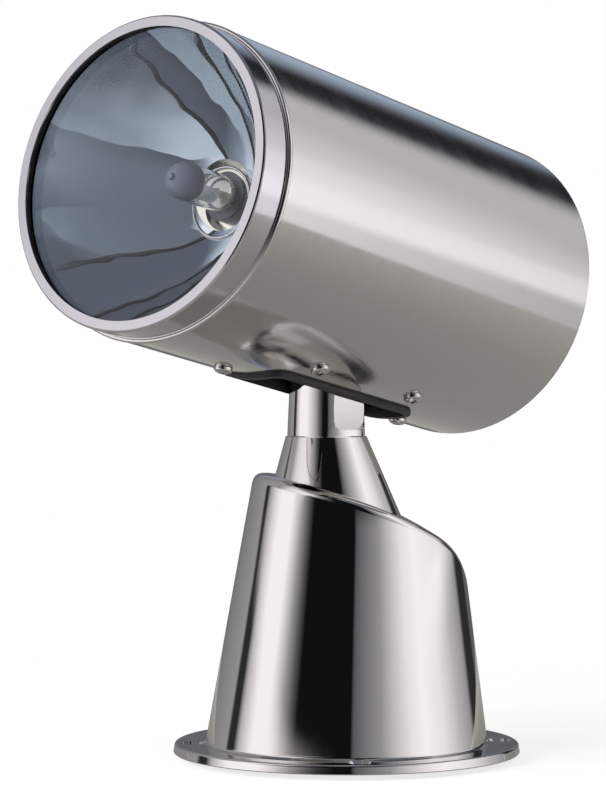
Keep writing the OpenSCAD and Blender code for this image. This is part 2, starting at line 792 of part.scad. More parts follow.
module tilt_shaft() color([0.7, 0.7, 0.73]) on_tilt_shaft()
    disc(tilt_shaft_r, -cheek_out - shaft_end, 2 * (cheek_out + shaft_end));

module tilt_gear() color([0.68, 0.55, 0.28]) in_head() rotate([90, 0, 90]) difference() {
    translate([0, 0, tang_half]) rotate([0, 0, 45]) toothed(tilt_gear_teeth, tilt_module, tilt_gear_t);
    disc(tilt_shaft_r + fit_gap, 0, 2 * cheek_out);
}

module tilt_spacer() color([0.6, 0.6, 0.63]) on_tilt_shaft() {
    spacer_l = cheek_in - bush_lip_t - clip_gap - tang_half;
    ring(tilt_bush_r, tilt_shaft_r + fit_gap, -tang_half - spacer_l, spacer_l);
}

module tilt_clips() color([0.35, 0.35, 0.37]) on_tilt_shaft() {
    ring(tilt_bush_r, tilt_shaft_r + fit_gap, cheek_out + clip_gap, clip_t);
    ring(tilt_bush_r, tilt_shaft_r + fit_gap, -cheek_out - clip_gap - clip_t, clip_t);
}

module tilt_lock_screw() color([0.35, 0.35, 0.37]) panned()
    translate([0, 0, tilt_axis_z + tilt_shaft_r + run_gap]) difference() {
        cylinder(r = lock_r, h = lock_l);
        translate([0, 0, lock_l - lock_r]) cylinder(r = 0.56 * lock_r, h = 2 * lock_r, $fn = 6);
    }

// Lamp head

module barrel() color([0.74, 0.74, 0.74]) difference() {
    along_beam() union() {
        ring(barrel_r, barrel_in_r, rear_s, mouth_s - mouth_edge - rear_s);
        difference() {
            translate([0, 0, mouth_s - mouth_edge - e])
                cylinder(r1 = barrel_r, r2 = barrel_r - edge_step, h = mouth_edge + e);
            disc(barrel_in_r, mouth_s - 3 * mouth_edge, 6 * mouth_edge);
        }
        ring(barrel_in_r + barrel_wall / 4, seat_in_r, seat_s - seat_t, seat_t);
    }
    in_head() slot_block(0, cradle_z - barrel_wall, barrel_r + 10);
    in_head() for (spot = cradle_screw_spots) toward_screw(spot)
        disc(screw_r + screw_gap, barrel_r - screw_l / 2, screw_l);
}

module bezel() color([0.82, 0.81, 0.82]) along_beam() difference() {
    union() {
        disc(bezel_r, seat_s, head_front - 2 * edge_step - seat_s);
        translate([0, 0, head_front - 2 * edge_step - e])
            cylinder(r1 = bezel_r, r2 = bezel_r - 0.7 * edge_step, h = edge_step + e);
        translate([0, 0, head_front - edge_step - e])
            cylinder(r1 = bezel_r - 0.7 * edge_step, r2 = bezel_r - 2 * edge_step, h = edge_step + e);
    }
    disc(bezel_in_r, seat_s - cut, head_front - bezel_lip - seat_s + cut);
    disc(opening_r, seat_s, 2 * head_front);
}

module lens_gasket() color([0.05, 0.05, 0.05]) along_beam() difference() {
    disc(gasket_r, lens_back_s, head_front - bezel_lip - lens_back_s);
    disc(gasket_in_r, lens_back_s - cut, 2 * head_front);
    disc(lens_r + 1.5 * seat_gap, lens_back_s - cut, lens_t + cut);
}

module lens() color([0.85, 0.9, 0.95, 0.35]) along_beam() disc(lens_r, lens_back_s, lens_t);

mirror_steps = 30;
function mirror_depth(r) = vertex_s + r * r / (4 * reflector_focus);
function mirror_curve(shift, r_end) = [for (i = [0 : mirror_steps])
    let (r = r_end * i / mirror_steps) [r, mirror_depth(r) - shift]];
function turned_back(points) = [for (i = [len(points) - 1 : -1 : 0]) points[i]];
mirror_back_r = sqrt((mirror_s - mirror_rim_t + mirror_skin - vertex_s) * 4 * reflector_focus);

module mirror_bowl() {
    rim = [
        [mirror_rim_r, mirror_s], [mirror_rim_r, seat_s],
        [mirror_rim_r - mirror_skirt, seat_s], [mirror_rim_r - mirror_skirt, mirror_s - mirror_rim_t]
    ];
    rotate_extrude() polygon(concat(
        mirror_curve(0, mirror_r), rim, turned_back(mirror_curve(mirror_skin, mirror_back_r))));
}

// the collar behind the bowl that carries the bulb
module lamp_collar() {
    reach = 1.7 * lamp_collar_r;
    shift = mirror_skin / 2;
    difference() {
        translate([0, bulb_lift, 0]) disc(lamp_collar_r, lamp_s, 30);
        rotate_extrude() polygon(concat(mirror_curve(shift, reach), [[0, mirror_depth(reach) - shift]]));
    }
}

module reflector() color([0.85, 0.87, 0.9]) along_beam() difference() {
    union() {
        mirror_bowl();
        lamp_collar();
    }
    translate([0, bulb_lift, 0]) {
        disc(lamp_hole_r, lamp_s - cut, 2 * lamp_collar_r);
        disc(lamp_flange_r + 3 * seat_gap, lamp_s - cut, lamp_flange_t + cut);
        around(3, lamp_screw_r, 90) disc(m3_r + fit_gap, lamp_s - cut, lamp_tap_l + cut);
    }
}

module bulb_shape(r, tip) {
    disc(r, cap_s, bulb_l);
    translate([0, 0, cap_s + bulb_l]) sphere(r = r);
    if (tip > 0)
        translate([0, 0, cap_s + bulb_l + r - cut]) cylinder(r1 = tip_r, r2 = 0.55 * tip_r, h = tip + cut);
}

module bulb_glass() color([0.9, 0.92, 0.95, 0.4]) at_lamp() difference() {
    bulb_shape(bulb_r, tip_h);
    translate([0, 0, -bulb_wall]) bulb_shape(bulb_r - bulb_wall, 0);
}

module bulb_base() color([0.75, 0.72, 0.66]) at_lamp() union() {
    disc(lamp_flange_r, lamp_s + run_gap, lamp_flange_t - run_gap);
    disc(lamp_neck_r, lamp_s + lamp_flange_t / 2, lamp_neck_h);
    disc(cap_r, lamp_s + lamp_flange_t / 2, cap_s - lamp_s - lamp_flange_t / 2);
    disc(lamp_plug_r, lamp_s - lamp_plug_h, lamp_plug_h + lamp_flange_t);
}

module bulb_filament() color([0.6, 0.6, 0.6]) at_lamp() translate([0, 0, cap_s]) union() {
    disc(stem_r, 0, stem_h);
    for (x = [-lead_x, 0, lead_x])
        translate([x, 0, 0]) disc(lead_r, stem_h / 2, (x == 0 ? coil_low_z : coil_high_z) - stem_h / 2);
    for (z = [coil_high_z, coil_low_z])
        translate([-lead_x, 0, z]) rotate([0, 90, 0]) cylinder(r = coil_r, h = 2 * lead_x);
    difference() {
        disc(shield_r, shield_z, shield_h);
        disc(shield_r - shield_t, shield_z - cut, shield_h + 2 * cut);
        translate([-2 * shield_r, -lead_r / 3, shield_z - cut])
            cube([4 * shield_r, 2 * shield_r, 2 * shield_h]);
    }
    for (side = [0, 1]) mirror([side, 0, 0])
        translate([lead_x - lead_r, -2 * lead_r, shield_z + lead_r])
            cube([shield_r - shield_t / 2 - lead_x + lead_r, 3 * lead_r, 2 * lead_r]);
}

module bulb_retainer() color([0.6, 0.6, 0.62]) at_lamp() difference() {
    ring(lamp_collar_r, lamp_plug_r + turn_gap, lamp_s - retainer_t, retainer_t);
    around(3, lamp_screw_r, 90) disc(m3_r + screw_gap, lamp_s - 2 * retainer_t, 4 * retainer_t);
}

module bulb_retainer_screws() color([0.75, 0.75, 0.77]) at_lamp() translate([0, 0, lamp_s - retainer_t])
    around(3, lamp_screw_r, 90) mirror([0, 0, 1]) pan_screw(m3_r, 1.75 * m3_r, 1.3 * m3_r, lamp_tap_l);

module bulb_connector() color([0.1, 0.1, 0.1]) at_lamp()
    translate([0, 0, lamp_s - lamp_plug_h - plug_l]) union() {
        translate([-plug_w / 2, -plug_h / 2, 0]) cube([plug_w, plug_h, plug_l]);
        translate([-plug_w / 3, -plug_h / 3, -plug_l / 3]) cube([plug_w / 1.5, plug_h / 1.5, plug_l / 2]);
    }

module rear_gasket() color([0.06, 0.06, 0.06]) along_beam()
    ring(barrel_in_r - 2 * seat_gap, barrel_in_r - 12 * seat_gap, rear_s + 0.4 * rear_t, 2 * rear_t);

module rear_cover() color([0.74, 0.74, 0.74]) along_beam() union() {
    disc(barrel_r, edge_step - head_rear, rear_t - edge_step);
    translate([0, 0, -head_rear]) cylinder(r1 = barrel_r - edge_step, r2 = barrel_r, h = edge_step + e);
    ring(barrel_in_r - 2 * seat_gap, barrel_in_r - 26 * seat_gap, rear_s - 2 * seat_gap, 8 * seat_gap);
    ring(barrel_in_r - 13 * seat_gap, barrel_in_r - 26 * seat_gap, rear_s, 8 * rear_t);
}

module boot() color([0.05, 0.05, 0.05]) in_head() difference() {
    union() {
        difference() {
            intersection() {
                slot_block(boot_lip, cradle_z, barrel_r + 10);
                beam_bar(barrel_r + boot_proud);
            }
            beam_bar(barrel_r + run_gap);
        }
        intersection() {
            slot_block(-seat_gap, cradle_z, barrel_r + 10);
            beam_bar(barrel_r + 0.8 * boot_proud);
        }
    }
    slot_block(-seat_gap - boot_t, cradle_z - 20, barrel_r + 12);
}

module cheek(motor_side) {
    translate([cheek_in, 0, 0]) rotate([90, 0, 90]) linear_extrude(height = cheek_t) union() {
        translate([-tang_deep, cradle_t / 4 - cradle_z]) square([2 * tang_deep, cradle_z - cradle_t / 4]);
        circle(r = tang_deep);
        if (motor_side) {
            translate([tilt_motor_y, tilt_motor_z]) circle(r = tilt_box_r + cheek_edge);
            rotate(45) translate([0, cheek_edge - tang_deep])
                square([tilt_distance, 2 * (tang_deep - cheek_edge)]);
        }
    }
}

module cradle() color([0.5, 0.51, 0.53]) in_head() difference() {
    front_y = front_screw_y - 1.5 * cradle_boss_r;
    rear_y = rear_screw_y + 1.5 * cradle_boss_r;
    intersection() {
        union() {
            translate([-cradle_half_w, front_y, -cradle_z])
                cube([2 * cradle_half_w, rear_y - front_y, cradle_t]);
            for (spot = cradle_screw_spots) toward_screw(spot)
                disc(cradle_boss_r, cradle_z - cradle_t, barrel_r - cradle_z + cradle_t);
            cheek(true);
            mirror([1, 0, 0]) cheek(false);
        }
        beam_bar(barrel_in_r - run_gap);
    }
    slot_block(-10 * seat_gap, cradle_z - 20, cradle_z + 20);
    for (spot = cradle_screw_spots) toward_screw(spot)
        disc(screw_r + fit_gap, barrel_r - 2 * screw_l, 2 * screw_l);
    rotate([0, 90, 0]) disc(tilt_bush_r + fit_gap, -2 * cheek_out, 4 * cheek_out);
    at_tilt_motor() rotate([0, 90, 0]) {
        disc(pinion_shaft_r + cut, 0, 2 * cheek_out);
        around(3, tilt_screw_r, 135) disc(m3_r + screw_gap, 0, 2 * cheek_out);
    }
}

module cradle_screws() color([0.78, 0.78, 0.8]) in_head() for (spot = cradle_screw_spots)
    toward_screw(spot) translate([0, 0, barrel_r + run_gap]) rotate([0, 0, 25])
        pan_screw(screw_r, screw_head_r, screw_head_h, screw_l);

module tilt_bushes() color([0.72, 0.55, 0.3]) in_head() for (side = [0, 1]) mirror([side, 0, 0])
    rotate([0, 90, 0]) difference() {
        union() {
            disc(tilt_bush_r, cheek_in - bush_lip_t / 4, cheek_t + bush_lip_t / 4);
            disc(tilt_bush_r + bush_lip, cheek_in - bush_lip_t, bush_lip_t);
        }
        disc(tilt_shaft_r + run_gap, 0, 2 * cheek_out);
    }

module tilt_motor() color([0.3, 0.31, 0.33]) in_head() at_tilt_motor() rotate([0, 90, 0]) difference() {
    union() {
        disc(tilt_box_r, cheek_out, tilt_box_h);
        disc(tilt_motor_d / 2, cheek_out + tilt_box_h - cut, tilt_motor_l);
    }
    disc(pinion_shaft_r + run_gap, cheek_out - cut, pinion_deep + 2 * cut);
    around(3, tilt_screw_r, 135) disc(m3_r + fit_gap, cheek_out - cut, tap_l + cut);
}

module tilt_motor_screws() color([0.75, 0.75, 0.77]) in_head() at_tilt_motor() rotate([0, 90, 0])
    around(3, tilt_screw_r, 135) translate([0, 0, cheek_in]) mirror([0, 0, 1])
        pan_screw(m3_r, 1.7 * m3_r, 1.2 * m3_r, cheek_t + thread_l);

module tilt_pinion() color([0.68, 0.55, 0.28]) in_head() at_tilt_motor() rotate([90, 0, 90]) union() {
    translate([0, 0, tang_half + clip_gap]) rotate([0, 0, 225 + 180 / tilt_pinion_teeth])
        toothed(tilt_pinion_teeth, tilt_module, tilt_gear_t);
    disc(pinion_shaft_r, tang_half + cut, cheek_out + pinion_deep - tang_half - cut);
}
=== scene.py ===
# %% [markdown]
# # A marine searchlight
#
# The lamp stands on a mirror polished pedestal. A neck pans on the pedestal, and a tube
# with a glass front tilts on the neck. The solids come from the CAD model, so this lesson
# is about what the eye adds: smooth skins, finishes and the light of a studio.

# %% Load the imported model
import json
import math

import bpy
from mathutils import Euler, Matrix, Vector

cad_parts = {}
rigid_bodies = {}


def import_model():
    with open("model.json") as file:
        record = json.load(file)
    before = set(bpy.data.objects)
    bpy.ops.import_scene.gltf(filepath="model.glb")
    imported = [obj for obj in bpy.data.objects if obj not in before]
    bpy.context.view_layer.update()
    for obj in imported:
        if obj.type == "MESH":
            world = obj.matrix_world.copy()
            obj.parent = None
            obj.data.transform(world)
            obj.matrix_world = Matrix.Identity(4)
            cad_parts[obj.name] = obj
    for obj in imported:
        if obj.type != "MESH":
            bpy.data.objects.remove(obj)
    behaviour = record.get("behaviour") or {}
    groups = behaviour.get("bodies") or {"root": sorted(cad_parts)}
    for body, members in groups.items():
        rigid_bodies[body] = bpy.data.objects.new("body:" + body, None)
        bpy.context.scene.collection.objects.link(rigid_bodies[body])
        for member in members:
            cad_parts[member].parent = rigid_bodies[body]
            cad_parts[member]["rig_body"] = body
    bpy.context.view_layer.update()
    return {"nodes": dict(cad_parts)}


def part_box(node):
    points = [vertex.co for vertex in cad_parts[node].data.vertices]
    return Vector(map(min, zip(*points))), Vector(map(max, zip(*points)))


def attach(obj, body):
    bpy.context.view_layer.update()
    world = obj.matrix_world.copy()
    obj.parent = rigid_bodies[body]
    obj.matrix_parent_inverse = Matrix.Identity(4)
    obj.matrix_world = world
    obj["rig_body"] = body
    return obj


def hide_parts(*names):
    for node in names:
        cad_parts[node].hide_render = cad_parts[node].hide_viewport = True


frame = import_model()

nodes = frame["nodes"]

# %% [markdown]
# ## The camera
#
# The photograph was taken with a long lens, a little above the deck, and from the left of
# the pedestal. A long lens could be copied by moving the camera back, but its focal length
# also sets how fast the far end of the tube shrinks, so both were fitted together.

# %% Camera at the photograph's angle
camera_data = bpy.data.cameras.new("photo_camera")
camera = bpy.data.objects.new("photo_camera", camera_data)
bpy.context.scene.collection.objects.link(camera)
camera_place = Vector((1.6935, -0.1482, 0.2298))
camera_aim = Vector((-0.9969, 0.0739, -0.0277))
camera.location = camera_place
camera.rotation_euler = camera_aim.to_track_quat("-Z", "Y").to_euler()
camera_data.sensor_width = 36.0
camera_data.lens = 147.49
bpy.context.scene.camera = camera
bpy.context.scene.view_settings.view_transform = "Standard"
print("camera", round(camera_place.length, 3), "m from the deck flange")

# %% [markdown]
# ## Colours and nodes
#
# A colour is written as it looks on a screen, and the shader needs it in linear light, so
# one function turns one into the other. Another adds a node, sets it and links it. Where a
# node is given as an input, its first output is meant, which keeps the trees short to read.

# %% Helpers for materials


def linear(code):
    """The linear RGBA of an sRGB hex colour."""
    parts = [int(code[i:i + 2], 16) / 255 for i in (1, 3, 5)]
    return [p / 12.92 if p <= 0.04045 else ((p + 0.055) / 1.055) ** 2.4 for p in parts] + [1.0]


def add(tree, kind, inputs=None, **settings):
    """Adds one node. An input is a value, an output to link, or a node for its first output."""
    node = tree.nodes.new(kind)
    for key, value in settings.items():
        setattr(node, key, value)
    for key, value in (inputs or {}).items():
        if isinstance(value, bpy.types.Node):
            value = [output for output in value.outputs if output.enabled][0]
        if isinstance(value, bpy.types.NodeSocket):
            tree.links.new(value, node.inputs[key])
        else:
            node.inputs[key].default_value = value
    return node


def new_material(name):
    """An empty material and its node tree."""
    material = bpy.data.materials.new(name)
    material.use_nodes = True
    material.node_tree.nodes.clear()
    return material, material.node_tree


# two settings that come up often: a soft step of a Map Range, and a Mix of two colours
soft_step = {"interpolation_type": "SMOOTHSTEP"}
of_colours = {"data_type": "RGBA"}
print("white is", [round(v, 3) for v in linear("#ffffff")])

# %% [markdown]
# ## The studio
#
# Polished metal has no look of its own: it shows the room. In the photograph the pedestal
# carries a dark strip where it faces the camera, a white one at the left where a lamp
# screen stands, and a long fade at the right. A round wall of lamp screens and dark cards
# gives these bands. A mirror that leans back looks higher up the wall, so the wall has
# three rows: the upright neck sees the low one, the tapered pedestal the middle one, and
# the upper cone and the top of the tube see the high one. Only mirrors and glass see it.

# %% Screens and cards of the wall, by angle from the camera in degrees, right positive
tones = {
    "black": "#101011", "dark": "#2a2b2d", "shade": "#55565a", "mid": "#757679",
    "grey": "#919193", "pale": "#b5b4b6", "light": "#d4d2d6", "bright": "#e7e5e7",
    "white": "#f6f4f7", "night": "#1b1f24", "steel": "#8f9bac", "slate": "#5f636b",
    "haze": "#8a8f97", "mist": "#a6aab2",
}
# a dark post and a lamp screen at the left, the dark camera side, and a long fade to the right
low_row = [
    (-180, "shade"), (-115, "grey"), (-112, "dark"), (-104, "dark"), (-98, "pale"), (-83, "white"),
    (-60, "white"), (-36, "pale"), (-19, "shade"), (-8, "black"), (3, "black"), (5, "shade"),
    (28, "grey"), (54, "bright"), (66, "white"), (98, "white"), (125, "pale"), (133, "dark"),
    (147, "dark"), (150, "shade"), (180, "shade"),
]
middle_row = [
    (-180, "shade"), (-117, "grey"), (-114, "dark"), (-110, "dark"), (-107, "grey"), (-97, "light"),
    (-87, "white"), (-70, "white"), (-56, "grey"), (-49, "shade"), (-43, "black"), (3, "black"),
    (5, "shade"), (28, "grey"), (52, "bright"), (66, "white"), (102, "bright"), (127, "mid"),
    (130, "dark"), (147, "dark"), (150, "mid"), (180, "shade"),
]
high_row = [
    (-180, "steel"), (-160, "mid"), (-120, "grey"), (-94, "grey"), (-81, "light"), (-69, "bright"),
    (-52, "bright"), (-46, "light"), (-38, "grey"), (-28, "shade"), (-17, "black"), (24, "black"),
    (34, "mid"), (54, "pale"), (78, "white"), (95, "bright"), (104, "light"), (118, "pale"),
    (131, "pale"), (137, "mid"), (140, "dark"), (150, "night"), (155, "dark"), (170, "steel"),
    (180, "steel"),
]
# a low card at the edge of the table, which darkens the right side of the pedestal
card_row = [
    (-180, "dark"), (66, "white"), (84, "bright"), (104, "pale"), (121, "grey"), (127, "dark"),
    (180, "dark"),
]
# what the reflector shows of the room, through the front glass
glass_row = [
    (-180, "slate"), (-112, "haze"), (-92, "white"), (-62, "white"), (-50, "mist"), (-38, "slate"),
    (35, "slate"), (60, "haze"), (100, "mist"), (180, "slate"),
]
print("bands:", len(low_row), len(middle_row), len(high_row), len(card_row), len(glass_row))

# %% [markdown]
# A row becomes a colour ramp over one turn. Each screen could be a lamp of its own, but a
# ramp also gives the soft fades between them. The angle of a point comes from its Object
# coordinates, so a round screen is turned until its X axis points at the camera.

# %% Helpers for round screens
round_sides = 96
view_turn = math.atan2(camera_place.y, camera_place.x)


def share(degrees):
    """An angle from the camera as a share of the turn, which starts behind the lamp."""
    return degrees / 360 + 0.5


def lay_row(tree, turn, row):
    """A row of screens and cards, as a colour ramp over one turn."""
    ramp = add(tree, "ShaderNodeValToRGB", {"Fac": turn})
    stops = ramp.color_ramp.elements
    stops[0].color = linear(tones[row[0][1]])
    stops[1].color = linear(tones[row[-1][1]])
    for degrees, tone in row[1:-1]:
        stops.new(share(degrees)).color = linear(tones[tone])
    return ramp


def round_screen(name, radius, low, top):
    """An open cylinder whose X axis points at the camera."""
    bpy.ops.object.select_all(action="DESELECT")
    bpy.ops.mesh.primitive_cylinder_add(
        vertices=round_sides, radius=radius, depth=top - low, end_fill_type="NOTHING",
        location=(0, 0, (low + top) / 2), rotation=(0, 0, view_turn))
    screen = bpy.context.object
    screen.name = name
    return screen


def round_place(tree):
    """The axes of a round screen, and where a point is on its turn, from 0 to 1."""
    place = add(tree, "ShaderNodeTexCoord")
    axes = add(tree, "ShaderNodeSeparateXYZ", {"Vector": place.outputs["Object"]})
    angle = add(tree, "ShaderNodeMath", {0: axes.outputs["Y"], 1: axes.outputs["X"]},
                operation="ARCTAN2")
    turn = add(tree, "ShaderNodeMapRange", {
        "Value": angle, "From Min": -math.pi, "From Max": math.pi})
    return axes, turn


print("camera at", round(math.degrees(view_turn), 2), "degrees of the frame")

# %% [markdown]
# How steeply a mirror looks up decides which row it sees, so the rows give way to each
# other by the slope from the lamp to the wall. What came through the front glass sees the
# reflector's row instead.

# %% Studio wall
wall_r = 2.6
wall_low = -0.8
wall_top = 3.4
wall_middle = (wall_low + wall_top) / 2
wall_strength = 1.4
look_z = 0.12
low_to_middle = (0.085, 0.142)
middle_to_high = (0.25, 0.34)
# left of the camera the high row starts further up, above what the pedestal's rolled edge sees
left_start = (-59.4, -48.6)
left_end = (-3.6, -14.4)
left_lift = 0.09
foot_slopes = (-0.26, -0.06)
foot_light = 0.7

studio_wall = round_screen("studio_wall", wall_r, wall_low, wall_top)
wall_material, tree = new_material("lamp_screens_and_dark_cards")
axes, turn = round_place(tree)
slope = add(tree, "ShaderNodeMath", {
    0: axes.outputs["Z"], 1: 1 / wall_r, 2: (wall_middle - look_z) / wall_r},
    operation="MULTIPLY_ADD")
to_middle = add(tree, "ShaderNodeMapRange", {
    "Value": slope, "From Min": low_to_middle[0], "From Max": low_to_middle[1]}, **soft_step)
rows = add(tree, "ShaderNodeMix", {
    "Factor": to_middle, "A": lay_row(tree, turn, low_row), "B": lay_row(tree, turn, middle_row)},
    **of_colours)
starts = add(tree, "ShaderNodeMapRange", {
    "Value": turn, "From Min": share(left_start[0]), "From Max": share(left_start[1])}, **soft_step)
ends = add(tree, "ShaderNodeMapRange", {
    "Value": turn, "From Min": share(left_end[0]), "From Max": share(left_end[1])}, **soft_step)
left = add(tree, "ShaderNodeMath", {0: starts, 1: ends}, operation="MULTIPLY")
lowered = add(tree, "ShaderNodeMath", {0: left, 1: -left_lift, 2: slope}, operation="MULTIPLY_ADD")
to_high = add(tree, "ShaderNodeMapRange", {
    "Value": lowered, "From Min": middle_to_high[0], "From Max": middle_to_high[1]}, **soft_step)
rows = add(tree, "ShaderNodeMix", {
    "Factor": to_high, "A": rows, "B": lay_row(tree, turn, high_row)}, **of_colours)
rays = add(tree, "ShaderNodeLightPath")
rows = add(tree, "ShaderNodeMix", {
    "Factor": rays.outputs["Is Transmission Ray"], "A": rows, "B": lay_row(tree, turn, glass_row)},
    **of_colours)
light = add(tree, "ShaderNodeMapRange", {
    "Value": slope, "From Min": foot_slopes[0], "From Max": foot_slopes[1],
    "To Min": foot_light, "To Max": 1.0})
strength = add(tree, "ShaderNodeMath", {0: light, 1: wall_strength}, operation="MULTIPLY")
glow = add(tree, "ShaderNodeEmission", {"Color": rows, "Strength": strength})
add(tree, "ShaderNodeOutputMaterial", {"Surface": glow})
studio_wall.data.materials.append(wall_material)
print("wall from", wall_low, "to", wall_top, "m")

# %% [markdown]
# The table under the lamp is grey in the underside of the tube, and its far edge draws the line
# along the side of the tube. A disc just above the floor, seen by reflections alone, gives both and
# leaves the floor white. It glows with painted light in place of a lit table, and it is darker
# towards the middle. Through the front glass the reflector shows it with a painted shadow of the
# searchlight close by, and painted lamp light to the left.

# %% Grey table top for the reflections
table_r = 0.8
table_z = -0.002
near_r = 0.1
# the painted shadow of the searchlight on the table is full out to the first radius and gone at the
# second
painted_shadow_r = 0.18
painted_shadow_edge_r = 0.44
left_reach = 0.5
bpy.ops.object.select_all(action="DESELECT")
bpy.ops.mesh.primitive_circle_add(
    vertices=round_sides, radius=table_r, fill_type="NGON", location=(0, 0, table_z))
studio_table = bpy.context.object
studio_table.name = "studio_table"
table_material, tree = new_material("grey_table")
place = add(tree, "ShaderNodeTexCoord")
reach = add(tree, "ShaderNodeVectorMath", {0: place.outputs["Object"]}, operation="LENGTH")
axes = add(tree, "ShaderNodeSeparateXYZ", {"Vector": place.outputs["Object"]})
# what the tube and the pedestal see: darker towards the middle
far = add(tree, "ShaderNodeMapRange", {
    "Value": reach.outputs["Value"], "From Min": near_r, "From Max": table_r}, **soft_step)
outside = add(tree, "ShaderNodeMix", {
    "Factor": far, "A": linear("#949390"), "B": linear("#b8b6b1")}, **of_colours)
# painted lamp light: lighter to the left
left = add(tree, "ShaderNodeMapRange", {
    "Value": axes.outputs["Y"], "From Min": 0.0, "From Max": -left_reach}, **soft_step)
lit = add(tree, "ShaderNodeMix", {
    "Factor": left, "A": linear("#9a9fa5"), "B": linear("#dfe4ea")}, **of_colours)
# painted shadow of the searchlight, dark close by, seen through the front glass
clear_of_painted_shadow = add(tree, "ShaderNodeMapRange", {
    "Value": reach.outputs["Value"], "From Min": painted_shadow_r, "From Max": painted_shadow_edge_r}, **soft_step)
through_glass = add(tree, "ShaderNodeMix", {
    "Factor": clear_of_painted_shadow, "A": linear("#35383e"), "B": lit}, **of_colours)
rays = add(tree, "ShaderNodeLightPath")
grey = add(tree, "ShaderNodeMix", {
    "Factor": rays.outputs["Is Transmission Ray"], "A": outside, "B": through_glass}, **of_colours)
glow = add(tree, "ShaderNodeEmission", {"Color": grey, "Strength": 1.0})
add(tree, "ShaderNodeOutputMaterial", {"Surface": glow})
studio_table.data.materials.append(table_material)
print("table radius", table_r)

# %% [markdown]
# The tube is bright at its side while the pedestal below it fades to grey, although both
# look to the right. What tells them apart is height: a low card at the edge of the table is
# in the way of the pedestal alone. It has to end softly, so it turns see-through at its top
# and at both ends.

# %% Low card at the right of the table
card_h = 0.2
card_clear_z = 0.18
card_full_z = 0.11
card_start = (63, 70)
card_end = (146, 136)
studio_card = round_screen("studio_card", table_r, 0, card_h)
card_material, tree = new_material("grey_card")
axes, turn = round_place(tree)
below_top = add(tree, "ShaderNodeMapRange", {
    "Value": axes.outputs["Z"], "From Min": card_clear_z - card_h / 2,
    "From Max": card_full_z - card_h / 2}, **soft_step)
starts = add(tree, "ShaderNodeMapRange", {
    "Value": turn, "From Min": share(card_start[0]), "From Max": share(card_start[1])}, **soft_step)
ends = add(tree, "ShaderNodeMapRange", {
    "Value": turn, "From Min": share(card_end[0]), "From Max": share(card_end[1])}, **soft_step)
cover = add(tree, "ShaderNodeMath", {0: below_top, 1: starts}, operation="MULTIPLY")
cover = add(tree, "ShaderNodeMath", {0: cover, 1: ends}, operation="MULTIPLY")
clear = add(tree, "ShaderNodeBsdfTransparent")
glow = add(tree, "ShaderNodeEmission", {
    "Color": lay_row(tree, turn, card_row), "Strength": wall_strength})
both = add(tree, "ShaderNodeMixShader", {0: cover, 1: clear, 2: glow})
add(tree, "ShaderNodeOutputMaterial", {"Surface": both})
studio_card.data.materials.append(card_material)
studio_card.visible_transmission = False
for screen in (studio_wall, studio_table, studio_card):
    screen.visible_camera = False
    screen.visible_diffuse = False
    screen.visible_shadow = False
    screen.visible_volume_scatter = False
    # mirrors find the screens by themselves, and aiming rays at them would only add grain
    screen.data.materials[0].cycles.emission_sampling = "NONE"
print("card", card_h, "m high")

# %% [markdown]
# The floor is white paper. It glows a little for the camera, so that it meets the white
# background, and what it lacks to white is its shadow.

# %% White floor
floor_r = 6
floor_z = -0.003
shadow_r = 0.16
white_r = 0.5
shadow_glow = 0.75
bpy.ops.object.select_all(action="DESELECT")
bpy.ops.mesh.primitive_circle_add(
    vertices=round_sides, radius=floor_r, fill_type="NGON", location=(0, 0, floor_z))
studio_floor = bpy.context.object
studio_floor.name = "studio_floor"
studio_floor.visible_glossy = False
studio_floor.visible_transmission = False
floor_material, tree = new_material("white_paper_floor")
rays = add(tree, "ShaderNodeLightPath")
place = add(tree, "ShaderNodeTexCoord")
reach = add(tree, "ShaderNodeVectorMath", {0: place.outputs["Object"]}, operation="LENGTH")
far = add(tree, "ShaderNodeMapRange", {
    "Value": reach.outputs["Value"], "From Min": shadow_r, "From Max": white_r,
    "To Min": shadow_glow, "To Max": 1.0})
glowing = add(tree, "ShaderNodeMath", {0: rays.outputs["Is Camera Ray"], 1: far},
              operation="MULTIPLY")
paper = add(tree, "ShaderNodeBsdfDiffuse", {"Color": linear("#f4f4f2")})
glow = add(tree, "ShaderNodeEmission", {"Color": linear("#ffffff"), "Strength": 1.0})
both = add(tree, "ShaderNodeMixShader", {0: glowing, 1: paper, 2: glow})
add(tree, "ShaderNodeOutputMaterial", {"Surface": both})
studio_floor.data.materials.append(floor_material)
print("floor radius", floor_r)

# %% [markdown]
# The room is white for the camera too, but a mirror that looks up sees the dark ceiling of
# a studio. One world does both: its colour depends on the kind of ray that asks for it.

# %% White surroundings
room_light = 0.5
world = bpy.data.worlds.new("white_room_with_dark_ceiling")
bpy.context.scene.world = world
world.use_nodes = True
tree = world.node_tree
tree.nodes.clear()
rays = add(tree, "ShaderNodeLightPath")
mirrored = add(tree, "ShaderNodeMath", {
    0: rays.outputs["Is Glossy Ray"], 1: rays.outputs["Is Transmission Ray"]}, operation="MAXIMUM")
seen = add(tree, "ShaderNodeMath", {0: rays.outputs["Is Camera Ray"], 1: mirrored},
           operation="MAXIMUM")
level = add(tree, "ShaderNodeMapRange", {"Value": seen, "To Min": room_light, "To Max": 1.0})
room = add(tree, "ShaderNodeMix", {
    "Factor": mirrored, "A": linear("#ffffff"), "B": linear("#70767f")}, **of_colours)
sky = add(tree, "ShaderNodeBackground", {"Color": room, "Strength": level})
add(tree, "ShaderNodeOutputWorld", {"Surface": sky})
print(world.name)

# %% [markdown]
# ## Lamps
#
# Rubber and floor need light that falls on them. Two large soft lamps stand where the
# bright screens of the wall are, so what they light agrees with what the metal shows. A
# third one stands in front of the glass and reaches the bulb at the bottom of its bowl.

# %% Three soft lamps
lamp_aim = Vector((0, 0, 0.2))


